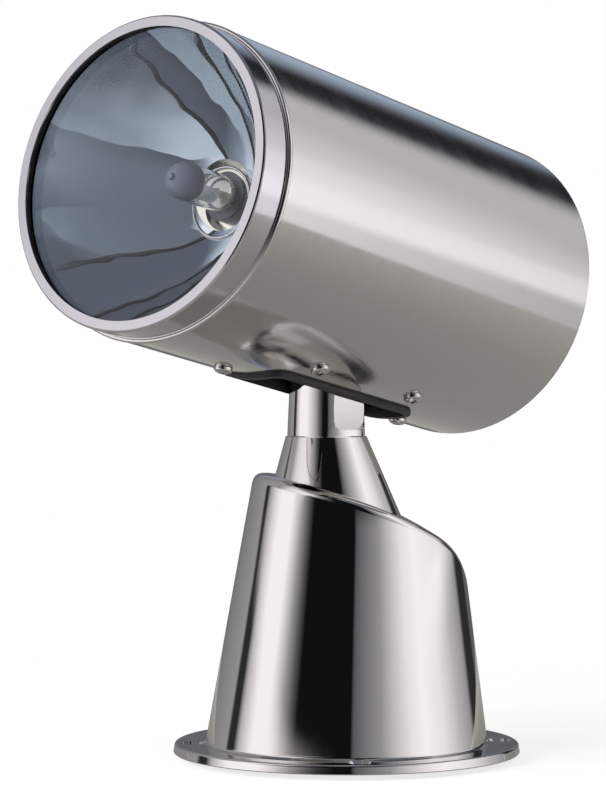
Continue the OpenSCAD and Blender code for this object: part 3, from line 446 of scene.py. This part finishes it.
def soft_lamp(name, degrees, distance, height, size, watts):
    """A square lamp at an angle from the camera, aimed at the head of the searchlight."""
    lamp_data = bpy.data.lights.new(name, "AREA")
    lamp_data.size = size
    lamp_data.energy = watts
    lamp = bpy.data.objects.new(name, lamp_data)
    bpy.context.scene.collection.objects.link(lamp)
    bearing = view_turn + math.radians(degrees)
    lamp.location = (distance * math.cos(bearing), distance * math.sin(bearing), height)
    aim = lamp_aim - lamp.location
    lamp.rotation_euler = aim.to_track_quat("-Z", "Y").to_euler()
    lamp.visible_camera = False
    lamp.visible_glossy = False
    lamp.visible_transmission = False
    print(name, watts, "W")


soft_lamp("left_lamp", degrees=-75, distance=1.6, height=1.1, size=1.2, watts=22)
soft_lamp("right_lamp", degrees=70, distance=1.8, height=1.3, size=1.2, watts=16)
soft_lamp("front_lamp", degrees=-38, distance=1.5, height=0.57, size=0.5, watts=26)

# %% [markdown]
# ## Places of the patterns
#
# The head was drawn panned and tilted. A pattern that follows the tube has to be turned
# with it, so a Mapping node undoes the turn: its result is measured in the head, with Z
# forward along the beam and Y up.

# %% Where the head is
tilt_axis = Vector((0, -0.0106, 0.2658))
pan_turn = math.radians(47)
tilt_turn = math.radians(11.5)
head_turn = Euler((math.radians(90) - tilt_turn, 0, pan_turn), "XYZ")
beam = head_turn.to_matrix() @ Vector((0, 0, 1))


def in_head(up, forward):
    """A point given in metres up and forward of the middle of the head."""
    return tilt_axis + head_turn.to_matrix() @ Vector((0, up, forward))


def grains(tree, cell_mm, detail, at=(0, 0, 0), turn=(0, 0, 0)):
    """Noise that lies still in the part, its grains the size of a cell of three sides."""
    place = add(tree, "ShaderNodeTexCoord")
    cells = add(tree, "ShaderNodeMapping", {
        "Vector": place.outputs["Object"], "Location": at, "Rotation": turn,
        "Scale": [side / 1000 for side in cell_mm]}, vector_type="TEXTURE")
    return add(tree, "ShaderNodeTexNoise", {"Vector": cells, "Scale": 1.0, "Detail": detail})


print("beam points to", [round(v, 3) for v in beam])

# %% [markdown]
# ## Mirror polished stainless steel
#
# The pedestal and the neck were cast or spun, ground and then buffed on a wheel. That
# leaves a mirror with a slight wave in it and a faint haze where the wheel passed. A wide
# noise moves the normal by a hair, and a finer one varies the roughness.

# %% Polished steel


def polished(name, code, wave_mm, wave_depth, haze_mm, rough):
    """Buffed metal: wave_mm and haze_mm are the sizes of its waves and of its haze."""
    material, tree = new_material(name)
    waves = grains(tree, [wave_mm] * 3, detail=1.0)
    haze = grains(tree, [haze_mm] * 3, detail=4.0)
    dull = add(tree, "ShaderNodeMapRange", {"Value": haze, "To Min": rough[0], "To Max": rough[1]})
    bump = add(tree, "ShaderNodeBump", {"Height": waves, "Strength": 1.0, "Distance": wave_depth})
    metal = add(tree, "ShaderNodeBsdfPrincipled", {
        "Base Color": linear(code), "Metallic": 1.0, "Roughness": dull, "Normal": bump})
    add(tree, "ShaderNodeOutputMaterial", {"Surface": metal})
    return material


# a clear, slightly warm mirror whose bands waver a little
mirror_steel = polished(
    "mirror_polished_stainless_steel", "#d9d6d4", wave_mm=22, wave_depth=0.00003, haze_mm=9,
    rough=(0.012, 0.045))
print(mirror_steel.name)

# %% [markdown]
# ## Brushed stainless steel
#
# The tube was rolled from bright sheet and brushed round its axis. The fine lines spread a
# reflection along the tube and leave it sharp across, so the horizon of the room stays a
# clean line. Real lines are about 0.3 mm apart: they are drawn two or three times as wide,
# so that they show.

# %% Steel brushed or turned round an axis
line_run_mm = 40
cloud_run_mm = 30
cloud_mm = 12
# the sum of two noises lies between these nearly everywhere
sum_low = 0.7
sum_high = 1.3


def lined_steel(name, code, line_mm, rough, depth):
    """Steel with lines round the beam axis, and duller clouds where the brush lingered."""
    material, tree = new_material(name)
    line_cell = (line_run_mm, line_run_mm, line_mm)
    cloud_cell = (cloud_run_mm, cloud_run_mm, cloud_mm)
    lines = grains(tree, line_cell, detail=3.0, at=tilt_axis, turn=head_turn)
    clouds = grains(tree, cloud_cell, detail=3.0, at=tilt_axis, turn=head_turn)
    sum_of_both = add(tree, "ShaderNodeMath", {0: lines, 1: clouds}, operation="ADD")
    dull = add(tree, "ShaderNodeMapRange", {
        "Value": sum_of_both, "From Min": sum_low, "From Max": sum_high,
        "To Min": rough[0], "To Max": rough[1]})
    bump = add(tree, "ShaderNodeBump", {"Height": lines, "Strength": 1.0, "Distance": depth})
    steel = add(tree, "ShaderNodeBsdfPrincipled", {
        "Base Color": linear(code), "Metallic": 1.0, "Roughness": dull, "Normal": bump})
    add(tree, "ShaderNodeOutputMaterial", {"Surface": steel})
    return material


# bright, soft bands along the tube
tube_steel = lined_steel(
    "brushed_stainless_steel_tube", "#d6d4d2", line_mm=0.8, rough=(0.08, 0.17), depth=0.000004)
# the same sheen with finer lines and a cooler tone
bezel_steel = lined_steel(
    "turned_stainless_steel_bezel", "#d0ced2", line_mm=0.6, rough=(0.08, 0.16), depth=0.000003)
print(tube_steel.name, bezel_steel.name)

# %% [markdown]
# ## Rubber, ceramic, metals and plastic
#
# Rubber is matt and slightly grainy. The tip of the bulb wears a grey heat-proof coat, and
# its cap is glazed. The pieces inside are sintered bronze, ground steel, cast aluminium and
# moulded plastic. They differ in colour, gloss and grain, so one function makes them all.

# %% Plain materials with grain


def grained(name, codes, grain_mm, rough, depth, metallic=1.0):
    """A material whose colour and roughness vary with its grain."""
    material, tree = new_material(name)
    grain = grains(tree, [grain_mm] * 3, detail=5.0)
    dull = add(tree, "ShaderNodeMapRange", {"Value": grain, "To Min": rough[0], "To Max": rough[1]})
    bump = add(tree, "ShaderNodeBump", {"Height": grain, "Strength": 1.0, "Distance": depth})
    colour = add(tree, "ShaderNodeMix", {
        "Factor": grain, "A": linear(codes[0]), "B": linear(codes[1])}, **of_colours)
    base = add(tree, "ShaderNodeBsdfPrincipled", {
        "Base Color": colour, "Metallic": metallic, "Roughness": dull, "Normal": bump})
    add(tree, "ShaderNodeOutputMaterial", {"Surface": base})
    return material


# nearly black, with a soft broken sheen
rubber = grained("moulded_black_rubber", ("#0f0f10", "#1b1b1c"), grain_mm=1.2,
                 rough=(0.38, 0.6), depth=0.00002, metallic=0.0)
# cool grey with the dull gloss of a baked paint
bulb_coat = grained("grey_heat_proof_bulb_coat", ("#4a4d59", "#585b68"), grain_mm=2.5,
                    rough=(0.25, 0.4), depth=0.00001, metallic=0.0)
# small bright glints on rounded heads
screw_steel = grained("cold_formed_stainless_screws", ("#c9c6c2", "#d8d5d1"), grain_mm=2.0,
                      rough=(0.08, 0.2), depth=0.00001)
# warm silver, softly blurred
nickel = grained("nickel_plated_brass", ("#d6d1c8", "#e6e1d8"), grain_mm=3.0,
                 rough=(0.2, 0.35), depth=0.00001)
# cream with a soft gloss
ceramic = grained("cream_glazed_ceramic", ("#e0dacd", "#ece6da"), grain_mm=3.0,
                  rough=(0.25, 0.4), depth=0.00001, metallic=0.0)
# dark grey metal with a blurred gleam
dark_steel = grained("blued_spring_steel", ("#55565a", "#6b6c70"), grain_mm=1.5,
                     rough=(0.25, 0.4), depth=0.00001)
# pale and dull, with the grain of the mould
aluminium = grained("cast_aluminium", ("#a6a8ab", "#babcbf"), grain_mm=1.5,
                    rough=(0.35, 0.55), depth=0.00003)
# yellow brown, with the fine grain of pressed powder
bronze = grained("sintered_bronze", ("#9a6f3c", "#b58748"), grain_mm=0.8,
                 rough=(0.35, 0.5), depth=0.00002)
# an even grey with a clear gleam
shaft_steel = grained("ground_shaft_steel", ("#a9abb0", "#bfc1c6"), grain_mm=2.0,
                      rough=(0.18, 0.3), depth=0.00001)
# darker grey with the wide flecks of zinc
motor_steel = grained("zinc_plated_motor_can", ("#6d7077", "#83868d"), grain_mm=4.0,
                      rough=(0.3, 0.45), depth=0.00001)
# black with an even, dull gloss
plastic = grained("moulded_black_plastic", ("#151516", "#202022"), grain_mm=0.9,
                  rough=(0.4, 0.55), depth=0.00001, metallic=0.0)
print("plain materials: 11")

# %% [markdown]
# ## Glass and mirror
#
# The front glass is a plain disc. A clear material could be a mix of see-through and gloss,
# but the refracting shader also shows the bright edge of the disc. The reflector was spun
# from sheet and coated in a vacuum, so its mirror is clear but not quite even.

# %% Clear glass and the reflector's coat
# only the strongest parts of the noise become a smear
smear_from = 0.45
smear_full = 0.8


def clear_glass(name, code, ior, smear_mm, rough):
    """Clear glass with a faint smear left by cleaning."""
    material, tree = new_material(name)
    smear = grains(tree, [smear_mm] * 3, detail=3.0, at=tilt_axis, turn=head_turn)
    dull = add(tree, "ShaderNodeMapRange", {
        "Value": smear, "From Min": smear_from, "From Max": smear_full,
        "To Min": rough[0], "To Max": rough[1]})
    glass = add(tree, "ShaderNodeBsdfPrincipled", {
        "Base Color": linear(code), "Transmission Weight": 1.0, "IOR": ior, "Roughness": dull})
    add(tree, "ShaderNodeOutputMaterial", {"Surface": glass})
    return material


# the front glass is bloomed against glare, so it gleams less than the quartz of the bulb
lens_glass = clear_glass(
    "bloomed_front_glass", "#f6fafc", ior=1.28, smear_mm=30, rough=(0.0, 0.02))
bulb_glass = clear_glass(
    "quartz_bulb_glass", "#f4f5f6", ior=1.46, smear_mm=8, rough=(0.0, 0.03))
# a cool mirror, and the waves of the spinning break up what it shows
mirror_coat = polished(
    "aluminised_reflector", "#d2d6dc", wave_mm=26, wave_depth=0.0006, haze_mm=20,
    rough=(0.01, 0.03))
print(lens_glass.name, bulb_glass.name, mirror_coat.name)

# %% [markdown]
# ## Smooth skins
#
# A CAD node comes as flat triangles, and flat triangles break a mirror into strips. A copy
# whose doubled points are merged can be shaded smooth, except over its sharp edges. Normals
# weighted by face area keep the large flat faces flat up to their rounded edges. The copy
# then stands for the node.

# %% Helpers for pieces and skins
weld = 0.000002
sharp_degrees = 30
flat_degrees = 0.2
bevel_steps = 3


def pick(piece):
    """Makes a piece the only selected object, and the active one."""
    bpy.ops.object.select_all(action="DESELECT")
    piece.select_set(True)
    bpy.context.view_layer.objects.active = piece


def dress(piece, body, slot, *materials):
    """Gives a piece its body and its materials. Its slot is not used."""
    piece.data.materials.clear()
    for material in materials:
        piece.data.materials.append(material)
    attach(piece, body)
    print(piece.name, len(piece.data.polygons), "faces")


def merged_copy(node, name):
    """A copy of a CAD node with its doubled points merged."""
    piece = bpy.data.objects.new(name, nodes[node].data.copy())
    bpy.context.scene.collection.objects.link(piece)
    pick(piece)
    bpy.ops.object.mode_set(mode="EDIT")
    bpy.ops.mesh.select_all(action="SELECT")
    bpy.ops.mesh.remove_doubles(threshold=weld)
    bpy.ops.object.mode_set(mode="OBJECT")
    bpy.ops.mesh.customdata_custom_splitnormals_clear()
    return piece


def smooth(piece, sharp=sharp_degrees, keep_flats=True):
    """Shades a piece smooth up to an angle. Its large flat faces can be kept flat."""
    pick(piece)
    bpy.ops.object.shade_smooth_by_angle(angle=math.radians(sharp))
    if keep_flats:
        bpy.ops.object.modifier_add(type="WEIGHTED_NORMAL")
        weights = piece.modifiers[-1]
        weights.keep_sharp = True
        bpy.ops.object.modifier_apply(modifier=weights.name)


def soften(piece, width):
    """Rounds the sharp edges of a piece, as polishing does."""
    bpy.ops.object.mode_set(mode="EDIT")
    bpy.ops.mesh.select_all(action="SELECT")
    bpy.ops.mesh.dissolve_limited(angle_limit=math.radians(flat_degrees))
    bpy.ops.object.mode_set(mode="OBJECT")
    bpy.ops.object.modifier_add(type="BEVEL")
    bevel = piece.modifiers[-1]
    bevel.width = width
    bevel.segments = bevel_steps
    bevel.limit_method = "ANGLE"
    bevel.angle_limit = math.radians(sharp_degrees)
    bpy.ops.object.modifier_apply(modifier=bevel.name)


def skin(node, name, slot, material, sharp=sharp_degrees, edge=0, keep_flats=True):
    """A smooth copy of a CAD node that replaces it."""
    piece = merged_copy(node, name)
    if edge:
        soften(piece, edge)
    smooth(piece, sharp, keep_flats)
    dress(piece, nodes[node]["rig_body"], slot, material)
    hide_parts(node)


print("points closer than", weld, "m are merged")

# %% [markdown]
# The neck was polished over its edges, so they are rounded first. The other pieces keep
# crisp edges. The screws are smooth up to a wider angle, because they are small and some of
# the steps in their heads are wider than 30 degrees.

# %% Skins of the visible solids
skin("neck", "neck_skin", "polished_stainless", mirror_steel, edge=0.0012)
skin("barrel", "tube_skin", "satin_stainless", tube_steel)
skin("rear_cover", "rear_skin", "satin_stainless", tube_steel)
skin("bezel", "bezel_skin", "bezel_stainless", bezel_steel)
skin("reflector", "reflector_skin", "reflector_mirror", mirror_coat, keep_flats=False)
skin("boot", "boot_skin", "black_rubber", rubber, keep_flats=False)
skin("cradle_screws", "cradle_screw_skins", "screw_stainless", screw_steel, sharp=40)
skin("lens_gasket", "gasket_skin", "black_rubber", rubber)

# %% [markdown]
# ## The pedestal
#
# The pedestal is one casting, but a mirror asks more of its mesh than the solid has. It is
# a cone that leans back, under a top that follows an arc and drops at the rear, and the edge
# between them is rolled. First come its curves, as functions of the angle from the front.

# %% Sizes and curves of the pedestal in metres
foot_z = 0.005
foot_r = 0.0733
body_taper = 0.154
body_lean = 0.026
crown_front_z = 0.1443
crown_r = 0.262
crown_slope = math.radians(10)
crown_start = 0.040
rim_lowest = 0.08
rim_highest = 0.16
halvings = 30
rear_drop = 0.020
drop_reach = 0.9 * rear_drop


def body_point(turn, z):
    """A point of the leaning cone at an angle from the front and a height."""
    r = foot_r - body_taper * (z - foot_z)
    return Vector((r * math.sin(turn), body_lean * (z - foot_z) - r * math.cos(turn), z))


def arc_z(y):
    """Height of the arc of the top."""
    u = math.sin(crown_slope) + (y + crown_start) / crown_r
    return crown_front_z - crown_r * (math.cos(crown_slope) - math.sqrt(1 - u * u))


def rim_point(turn, top_z):
    """Where the side meets a top, found by halving the height between them."""
    below = rim_lowest
    above = rim_highest
    for _ in range(halvings):
        z = (below + above) / 2
        if z > top_z(body_point(turn, z).y):
            above = z
        else:
            below = z
    return body_point(turn, above)


# the drop is a curve from the arc to the rear side, bent at the corner that they would make
corner = rim_point(math.pi, arc_z)
drop_end = body_point(math.pi, corner.z - rear_drop)
drop_y = corner.y - drop_reach
drop_z = arc_z(drop_y)


def crown_z(y):
    """Height of the top: the arc, and the drop behind it."""
    past = y - drop_y
    if past <= 0:
        return arc_z(y)
    a = drop_y - 2 * corner.y + drop_end.y
    b = 2 * (corner.y - drop_y)
    s = min(1, 2 * past / (b + math.sqrt(max(0, b * b + 4 * a * past))))
    return (1 - s) ** 2 * drop_z + 2 * s * (1 - s) * corner.z + s * s * drop_end.z


print("rear corner at", [round(v, 4) for v in corner])

# %% [markdown]
# A cone could be cut and bevelled, but a bevel keeps one width, and the rolled edge gets
# tighter to the rear. So a flat grid is wrapped round the pedestal: each of its points gets
# an angle and a row, and the rows run up the side, over the rolled edge and in along the top.

# %% Wrap a grid round the pedestal
turns = 240
side_rows = 8
edge_rows = 10
top_rows = 26
all_rows = side_rows + edge_rows + top_rows
body_start_z = 0.006
crown_mid_y = 0.004
edge_front = 0.006
edge_rear = 0.0035
pan_y = -0.0106
crown_hole_r = 0.024


def on_crown(x, y):
    """The point of the top above a place of the plan."""
    return Vector((x, y, crown_z(y)))


def pedestal_line(turn):
    """The points of the skin at one angle, from the foot to the hole in the top."""
    rim = rim_point(turn, crown_z)
    roll = edge_front + (edge_rear - edge_front) * (1 - math.cos(turn)) / 2
    inward = Vector((-rim.x, crown_mid_y - rim.y)).normalized() * roll
    start = body_point(turn, rim.z - roll)
    end = on_crown(rim.x + inward.x, rim.y + inward.y)
    hole = Vector((crown_hole_r * math.sin(turn), pan_y - crown_hole_r * math.cos(turn), 0))
    side_h = start.z - body_start_z
    line = [body_point(turn, body_start_z + side_h * i / side_rows) for i in range(side_rows)]
    for i in range(edge_rows):
        s = i / edge_rows
        line.append((1 - s) ** 2 * start + 2 * s * (1 - s) * rim + s * s * end)
    for i in range(top_rows + 1):
        flat = end.lerp(hole, i / top_rows)
        line.append(on_crown(flat.x, flat.y))
    return line


def face_outward(piece):
    """Merges the doubled points of a piece and turns its faces outward."""
    pick(piece)
    bpy.ops.object.mode_set(mode="EDIT")
    bpy.ops.mesh.select_all(action="SELECT")
    bpy.ops.mesh.remove_doubles(threshold=weld)
    bpy.ops.mesh.normals_make_consistent(inside=False)
    bpy.ops.object.mode_set(mode="OBJECT")


bpy.ops.object.select_all(action="DESELECT")
bpy.ops.mesh.primitive_grid_add(x_subdivisions=turns, y_subdivisions=all_rows, size=1)
pedestal = bpy.context.object
pedestal.name = "pedestal_skin"
lines = [pedestal_line(math.tau * i / turns) for i in range(turns + 1)]
for vertex in pedestal.data.vertices:
    column = round((vertex.co.x + 0.5) * turns)
    row = round((vertex.co.y + 0.5) * all_rows)
    vertex.co = lines[column][row]
face_outward(pedestal)
bpy.ops.object.shade_smooth()
dress(pedestal, "base", "polished_stainless", mirror_steel)

# %% [markdown]
# The upper cone stands on the sloping top and carries the neck. It leans too: its lower
# ring lies further back than its upper one. A cone primitive whose lower ring is moved back
# gives that, and its top ring is extruded in and down to the seat of the bush.

# %% Upper cone
seam_z = 0.164
seam_r = 0.021
seat_r = 0.0153
seat_deep = 0.004
cone_deep = 0.050
cone_front = 0.27
cone_rear = 0.433
cone_mid_z = seam_z - cone_deep / 2
low_r = seam_r + (cone_front + cone_rear) / 2 * cone_deep
low_shift = (cone_rear - cone_front) / 2 * cone_deep
seat_size = seat_r / seam_r


def select_points(piece, test):
    """Selects the points of a piece that pass a test, and leaves it in edit mode."""
    pick(piece)
    bpy.ops.object.mode_set(mode="EDIT")
    bpy.ops.mesh.select_all(action="DESELECT")
    bpy.ops.object.mode_set(mode="OBJECT")
    for vertex in piece.data.vertices:
        vertex.select = test(piece.matrix_world @ vertex.co)
    bpy.ops.object.mode_set(mode="EDIT")


bpy.ops.object.select_all(action="DESELECT")
bpy.ops.mesh.primitive_cone_add(
    vertices=turns, radius1=low_r, radius2=seam_r, depth=cone_deep, end_fill_type="NOTHING",
    location=(0, pan_y, cone_mid_z))
cone = bpy.context.object
cone.name = "upper_cone_skin"
bpy.ops.object.transform_apply(location=True, rotation=True, scale=True)
select_points(cone, lambda p: p.z < cone_mid_z)
bpy.ops.transform.translate(value=(0, low_shift, 0))
bpy.ops.object.mode_set(mode="OBJECT")
select_points(cone, lambda p: p.z > cone_mid_z)
bpy.ops.mesh.extrude_edges_move()
bpy.ops.transform.resize(value=(seat_size, seat_size, 1), center_override=(0, pan_y, seam_z))
bpy.ops.mesh.extrude_edges_move()
bpy.ops.transform.translate(value=(0, 0, -seat_deep))
bpy.ops.object.mode_set(mode="OBJECT")
face_outward(cone)
smooth(cone, keep_flats=False)
dress(cone, "base", "polished_stainless", mirror_steel)

# %% [markdown]
# The deck flange is a ring with a drafted edge that ends in a round, and a small fillet at
# the foot of the cone. Its profile could be drawn and spun. Here it grows ring by ring, each
# one an extrusion of the last, so that a radius and a height are all that a ring needs. The
# last ring is merged with the first.

# %% Deck flange
flange_r = 0.090
flange_t = 0.005
nose_r = 0.0014
nose_low_r = 0.0005
edge_draft = 0.0005
fillet_r = 0.0018
cover_gap = 0.0003
arc_steps = 8
recess_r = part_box("bottom_cover")[1][0] + cover_gap
foot_top_r = foot_r - body_taper * fillet_r
nose_x = flange_r - edge_draft - nose_r
profile = [(recess_r, flange_t + fillet_r), (recess_r, 0)]
profile += [(flange_r - nose_low_r, 0), (flange_r, nose_low_r)]
arc_turns = [math.pi / 2 * i / arc_steps for i in range(arc_steps + 1)]
for a in arc_turns:
    profile.append((nose_x + nose_r * math.cos(a), flange_t - nose_r * (1 - math.sin(a))))
for a in arc_turns:
    fillet_x = foot_top_r + fillet_r * (1 - math.sin(a))
    profile.append((fillet_x, flange_t + fillet_r * (1 - math.cos(a))))


def extrude_ring(radius, last_radius, z, last_z):
    """Extrudes the selected ring to a new radius and height."""
    bpy.ops.mesh.extrude_edges_move()
    size = radius / last_radius
    bpy.ops.transform.resize(value=(size, size, 1), center_override=(0, 0, last_z))
    bpy.ops.transform.translate(value=(0, 0, z - last_z))


bpy.ops.object.select_all(action="DESELECT")
bpy.ops.mesh.primitive_circle_add(
    vertices=turns, radius=profile[0][0], fill_type="NOTHING", location=(0, 0, profile[0][1]))
flange = bpy.context.object
flange.name = "deck_flange_skin"
bpy.ops.object.transform_apply(location=True, rotation=True, scale=True)
bpy.ops.object.mode_set(mode="EDIT")
bpy.ops.mesh.select_all(action="SELECT")
for (last_radius, last_z), (radius, z) in zip(profile, profile[1:] + profile[:1]):
    extrude_ring(radius, last_radius, z, last_z)
bpy.ops.object.mode_set(mode="OBJECT")
face_outward(flange)
print("flange profile:", len(profile), "rings")

# %% [markdown]
# Four countersunk holes take the deck bolts. A hole could be drawn dark, but a mirror shows
# its cone, so each one is cut by a Boolean. The cutter is a cylinder whose upper face is
# extruded and widened into the countersink.

# %% Countersunk holes
fixings = 4
fixing_r = 0.080
hole_r = 0.0033
hole_sides = 64
sink = 0.0034
spare = 0.001
through = flange_t - sink + spare
wide = (hole_r + sink + spare) / hole_r
for i in range(fixings):
    bearing = math.tau * i / fixings
    place = (fixing_r * math.cos(bearing), fixing_r * math.sin(bearing))
    bpy.ops.object.select_all(action="DESELECT")
    bpy.ops.mesh.primitive_cylinder_add(
        vertices=hole_sides, radius=hole_r, depth=through, location=(*place, through / 2 - spare))
    cutter = bpy.context.object
    bpy.ops.object.transform_apply(location=True, rotation=True, scale=True)
    select_points(cutter, lambda p: p.z > 0)
    bpy.ops.mesh.extrude_region_move()
    bpy.ops.transform.resize(value=(wide, wide, 1), center_override=(*place, flange_t - sink))
    bpy.ops.transform.translate(value=(0, 0, sink + spare))
    bpy.ops.object.mode_set(mode="OBJECT")
    pick(flange)
    bpy.ops.object.modifier_add(type="BOOLEAN")
    cut = flange.modifiers[-1]
    cut.operation = "DIFFERENCE"
    cut.object = cutter
    bpy.ops.object.modifier_apply(modifier=cut.name)
    bpy.data.objects.remove(cutter)
smooth(flange)
dress(flange, "base", "polished_stainless", mirror_steel)
for piece in (pedestal, cone, flange):
    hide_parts("base_housing")

# %% [markdown]
# ## Rolled edges
#
# The front edge of the tube and the edge of the lamp hole in the reflector are rolled into
# a thin bead. It could be a bevel of the edge, but a bead stands proud, so it is a torus
# whose section is stretched along the beam.

# %% Beads of the tube and of the lamp hole
bead_sides = 16


def bead(name, forward, radius, height, stretch, slot, material):
    """A round bead about the beam."""
    bpy.ops.object.select_all(action="DESELECT")
    bpy.ops.mesh.primitive_torus_add(
        major_radius=radius, minor_radius=height, major_segments=turns, minor_segments=bead_sides)
    piece = bpy.context.object
    piece.name = name
    piece.scale = (1, 1, stretch)
    bpy.ops.object.transform_apply(location=False, rotation=False, scale=True)
    piece.location = in_head(0, forward)
    piece.rotation_euler = head_turn
    bpy.ops.object.transform_apply(location=True, rotation=True, scale=True)
    bpy.ops.object.shade_smooth()
    dress(piece, "lamp_head", slot, material)


bead("tube_front_bead", forward=0.1317, radius=0.0793, height=0.0013, stretch=1.0,
     slot="satin_stainless", material=mirror_steel)
bead("lamp_hole_bead", forward=0.0842, radius=0.0181, height=0.0008, stretch=1.2,
     slot="nickel_plate", material=mirror_steel)

# %% [markdown]
# Inside the bead a shallow cream dish closes the lamp hole round the cap of the bulb. It
# could be a flat washer, but its slope catches light. It is an open cone, and a Solidify
# modifier gives it the thickness of its sheet.

# %% Dish of the lamp hole
dish_front_r = 0.0174
dish_rear_r = 0.0140
dish_h = 0.003
dish_forward = 0.0815
dish_t = 0.0005
bpy.ops.object.select_all(action="DESELECT")
bpy.ops.mesh.primitive_cone_add(
    vertices=round_sides, radius1=dish_rear_r, radius2=dish_front_r, depth=dish_h,
    end_fill_type="NOTHING", location=in_head(0, dish_forward), rotation=head_turn)
dish = bpy.context.object
dish.name = "lamp_hole_dish"
bpy.ops.object.transform_apply(location=True, rotation=True, scale=True)
face_outward(dish)
bpy.ops.object.modifier_add(type="SOLIDIFY")
sheet = dish.modifiers[-1]
sheet.thickness = dish_t
bpy.ops.object.modifier_apply(modifier=sheet.name)
smooth(dish, keep_flats=False)
dress(dish, "lamp_head", "nickel_plate", ceramic)

# %% [markdown]
# ## The bulb
#
# The glass of the bulb is one solid, but its tip is painted grey, so that no stray light
# leaves it forward. The paint could be a colour by place, but a cut across the mesh gives it
# a clean edge, and the faces in front of the cut take the second material.

# %% Coated bulb
bulb_up = 0.004
coat_forward = 0.110
tip_back = 0.007
coat_edge = in_head(bulb_up, coat_forward)
bulb = merged_copy("bulb_glass", "bulb_skin")
select_points(bulb, lambda p: (p - coat_edge).dot(beam) > 0)
bpy.ops.transform.translate(value=-tip_back * beam)
bpy.ops.mesh.select_all(action="SELECT")
bpy.ops.mesh.bisect(plane_co=coat_edge, plane_no=beam)
bpy.ops.object.mode_set(mode="OBJECT")
smooth(bulb, keep_flats=False)
dress(bulb, "lamp_head", "bulb_glass", bulb_glass, bulb_coat)
for face in bulb.data.polygons:
    face.material_index = int((face.center - coat_edge).dot(beam) > 0)
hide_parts("bulb_glass")

# %% [markdown]
# Round the cap of the bulb sits a ribbed steel collar. A bump could draw the ribs, but they
# show at its edge, so every second face of a cylinder is pushed out.

# %% Ribbed collar of the bulb
collar_r = 0.0122
collar_forward = 0.0785
collar_h = 0.007
rib_count = 30
rib_h = 0.0009
bpy.ops.object.select_all(action="DESELECT")
bpy.ops.mesh.primitive_cylinder_add(
    vertices=2 * rib_count, radius=collar_r, depth=collar_h,
    location=in_head(bulb_up, collar_forward), rotation=head_turn)
collar = bpy.context.object
collar.name = "bulb_collar"
bpy.ops.object.transform_apply(location=True, rotation=True, scale=True)
sides = [face.index for face in collar.data.polygons if len(face.vertices) == 4]
bpy.ops.object.mode_set(mode="EDIT")
bpy.ops.mesh.select_all(action="DESELECT")
bpy.ops.object.mode_set(mode="OBJECT")
for i in sides[::2]:
    collar.data.polygons[i].select = True
bpy.ops.object.mode_set(mode="EDIT")
bpy.ops.mesh.extrude_faces_move()
bpy.ops.transform.shrink_fatten(value=rib_h)
bpy.ops.object.mode_set(mode="OBJECT")
dress(collar, "lamp_head", "nickel_plate", dark_steel)

# %% [markdown]
# ## The other CAD nodes
#
# What is inside, and what is flat anyway, keeps its CAD mesh and gets its material. The
# front glass casts no shadow, because real glass lets the light of the lamps in.

# %% Materials of the CAD nodes
finishes = {
    "lens": lens_glass, "bulb_base": ceramic, "bulb_filament": nickel, "bulb_retainer": nickel,
    "bulb_retainer_screws": screw_steel, "bulb_connector": plastic, "rear_gasket": rubber,
    "cradle": aluminium, "tilt_bushes": bronze, "tilt_motor": motor_steel,
    "tilt_motor_screws": screw_steel, "tilt_pinion": bronze, "bottom_cover": tube_steel,
    "bottom_gasket": rubber, "bottom_cover_screws": screw_steel, "cable_grommet": rubber,
    "chassis_plate": aluminium, "chassis_screws": screw_steel, "pan_gearbox": aluminium,
    "pan_motor": motor_steel, "pan_motor_screws": screw_steel, "pan_bush_upper": bronze,
    "pan_bush_lower": bronze, "pan_pinion": bronze, "pan_shaft": shaft_steel, "pan_gear": bronze,
    "pan_nut": shaft_steel, "tilt_shaft": shaft_steel, "tilt_gear": bronze,
    "tilt_spacer": aluminium, "tilt_clips": shaft_steel, "tilt_lock_screw": shaft_steel,
}
nodes["lens"].visible_shadow = False
for name, material in finishes.items():
    nodes[name].data.materials.clear()
    nodes[name].data.materials.append(material)
print("CAD nodes with a finish:", len(finishes))
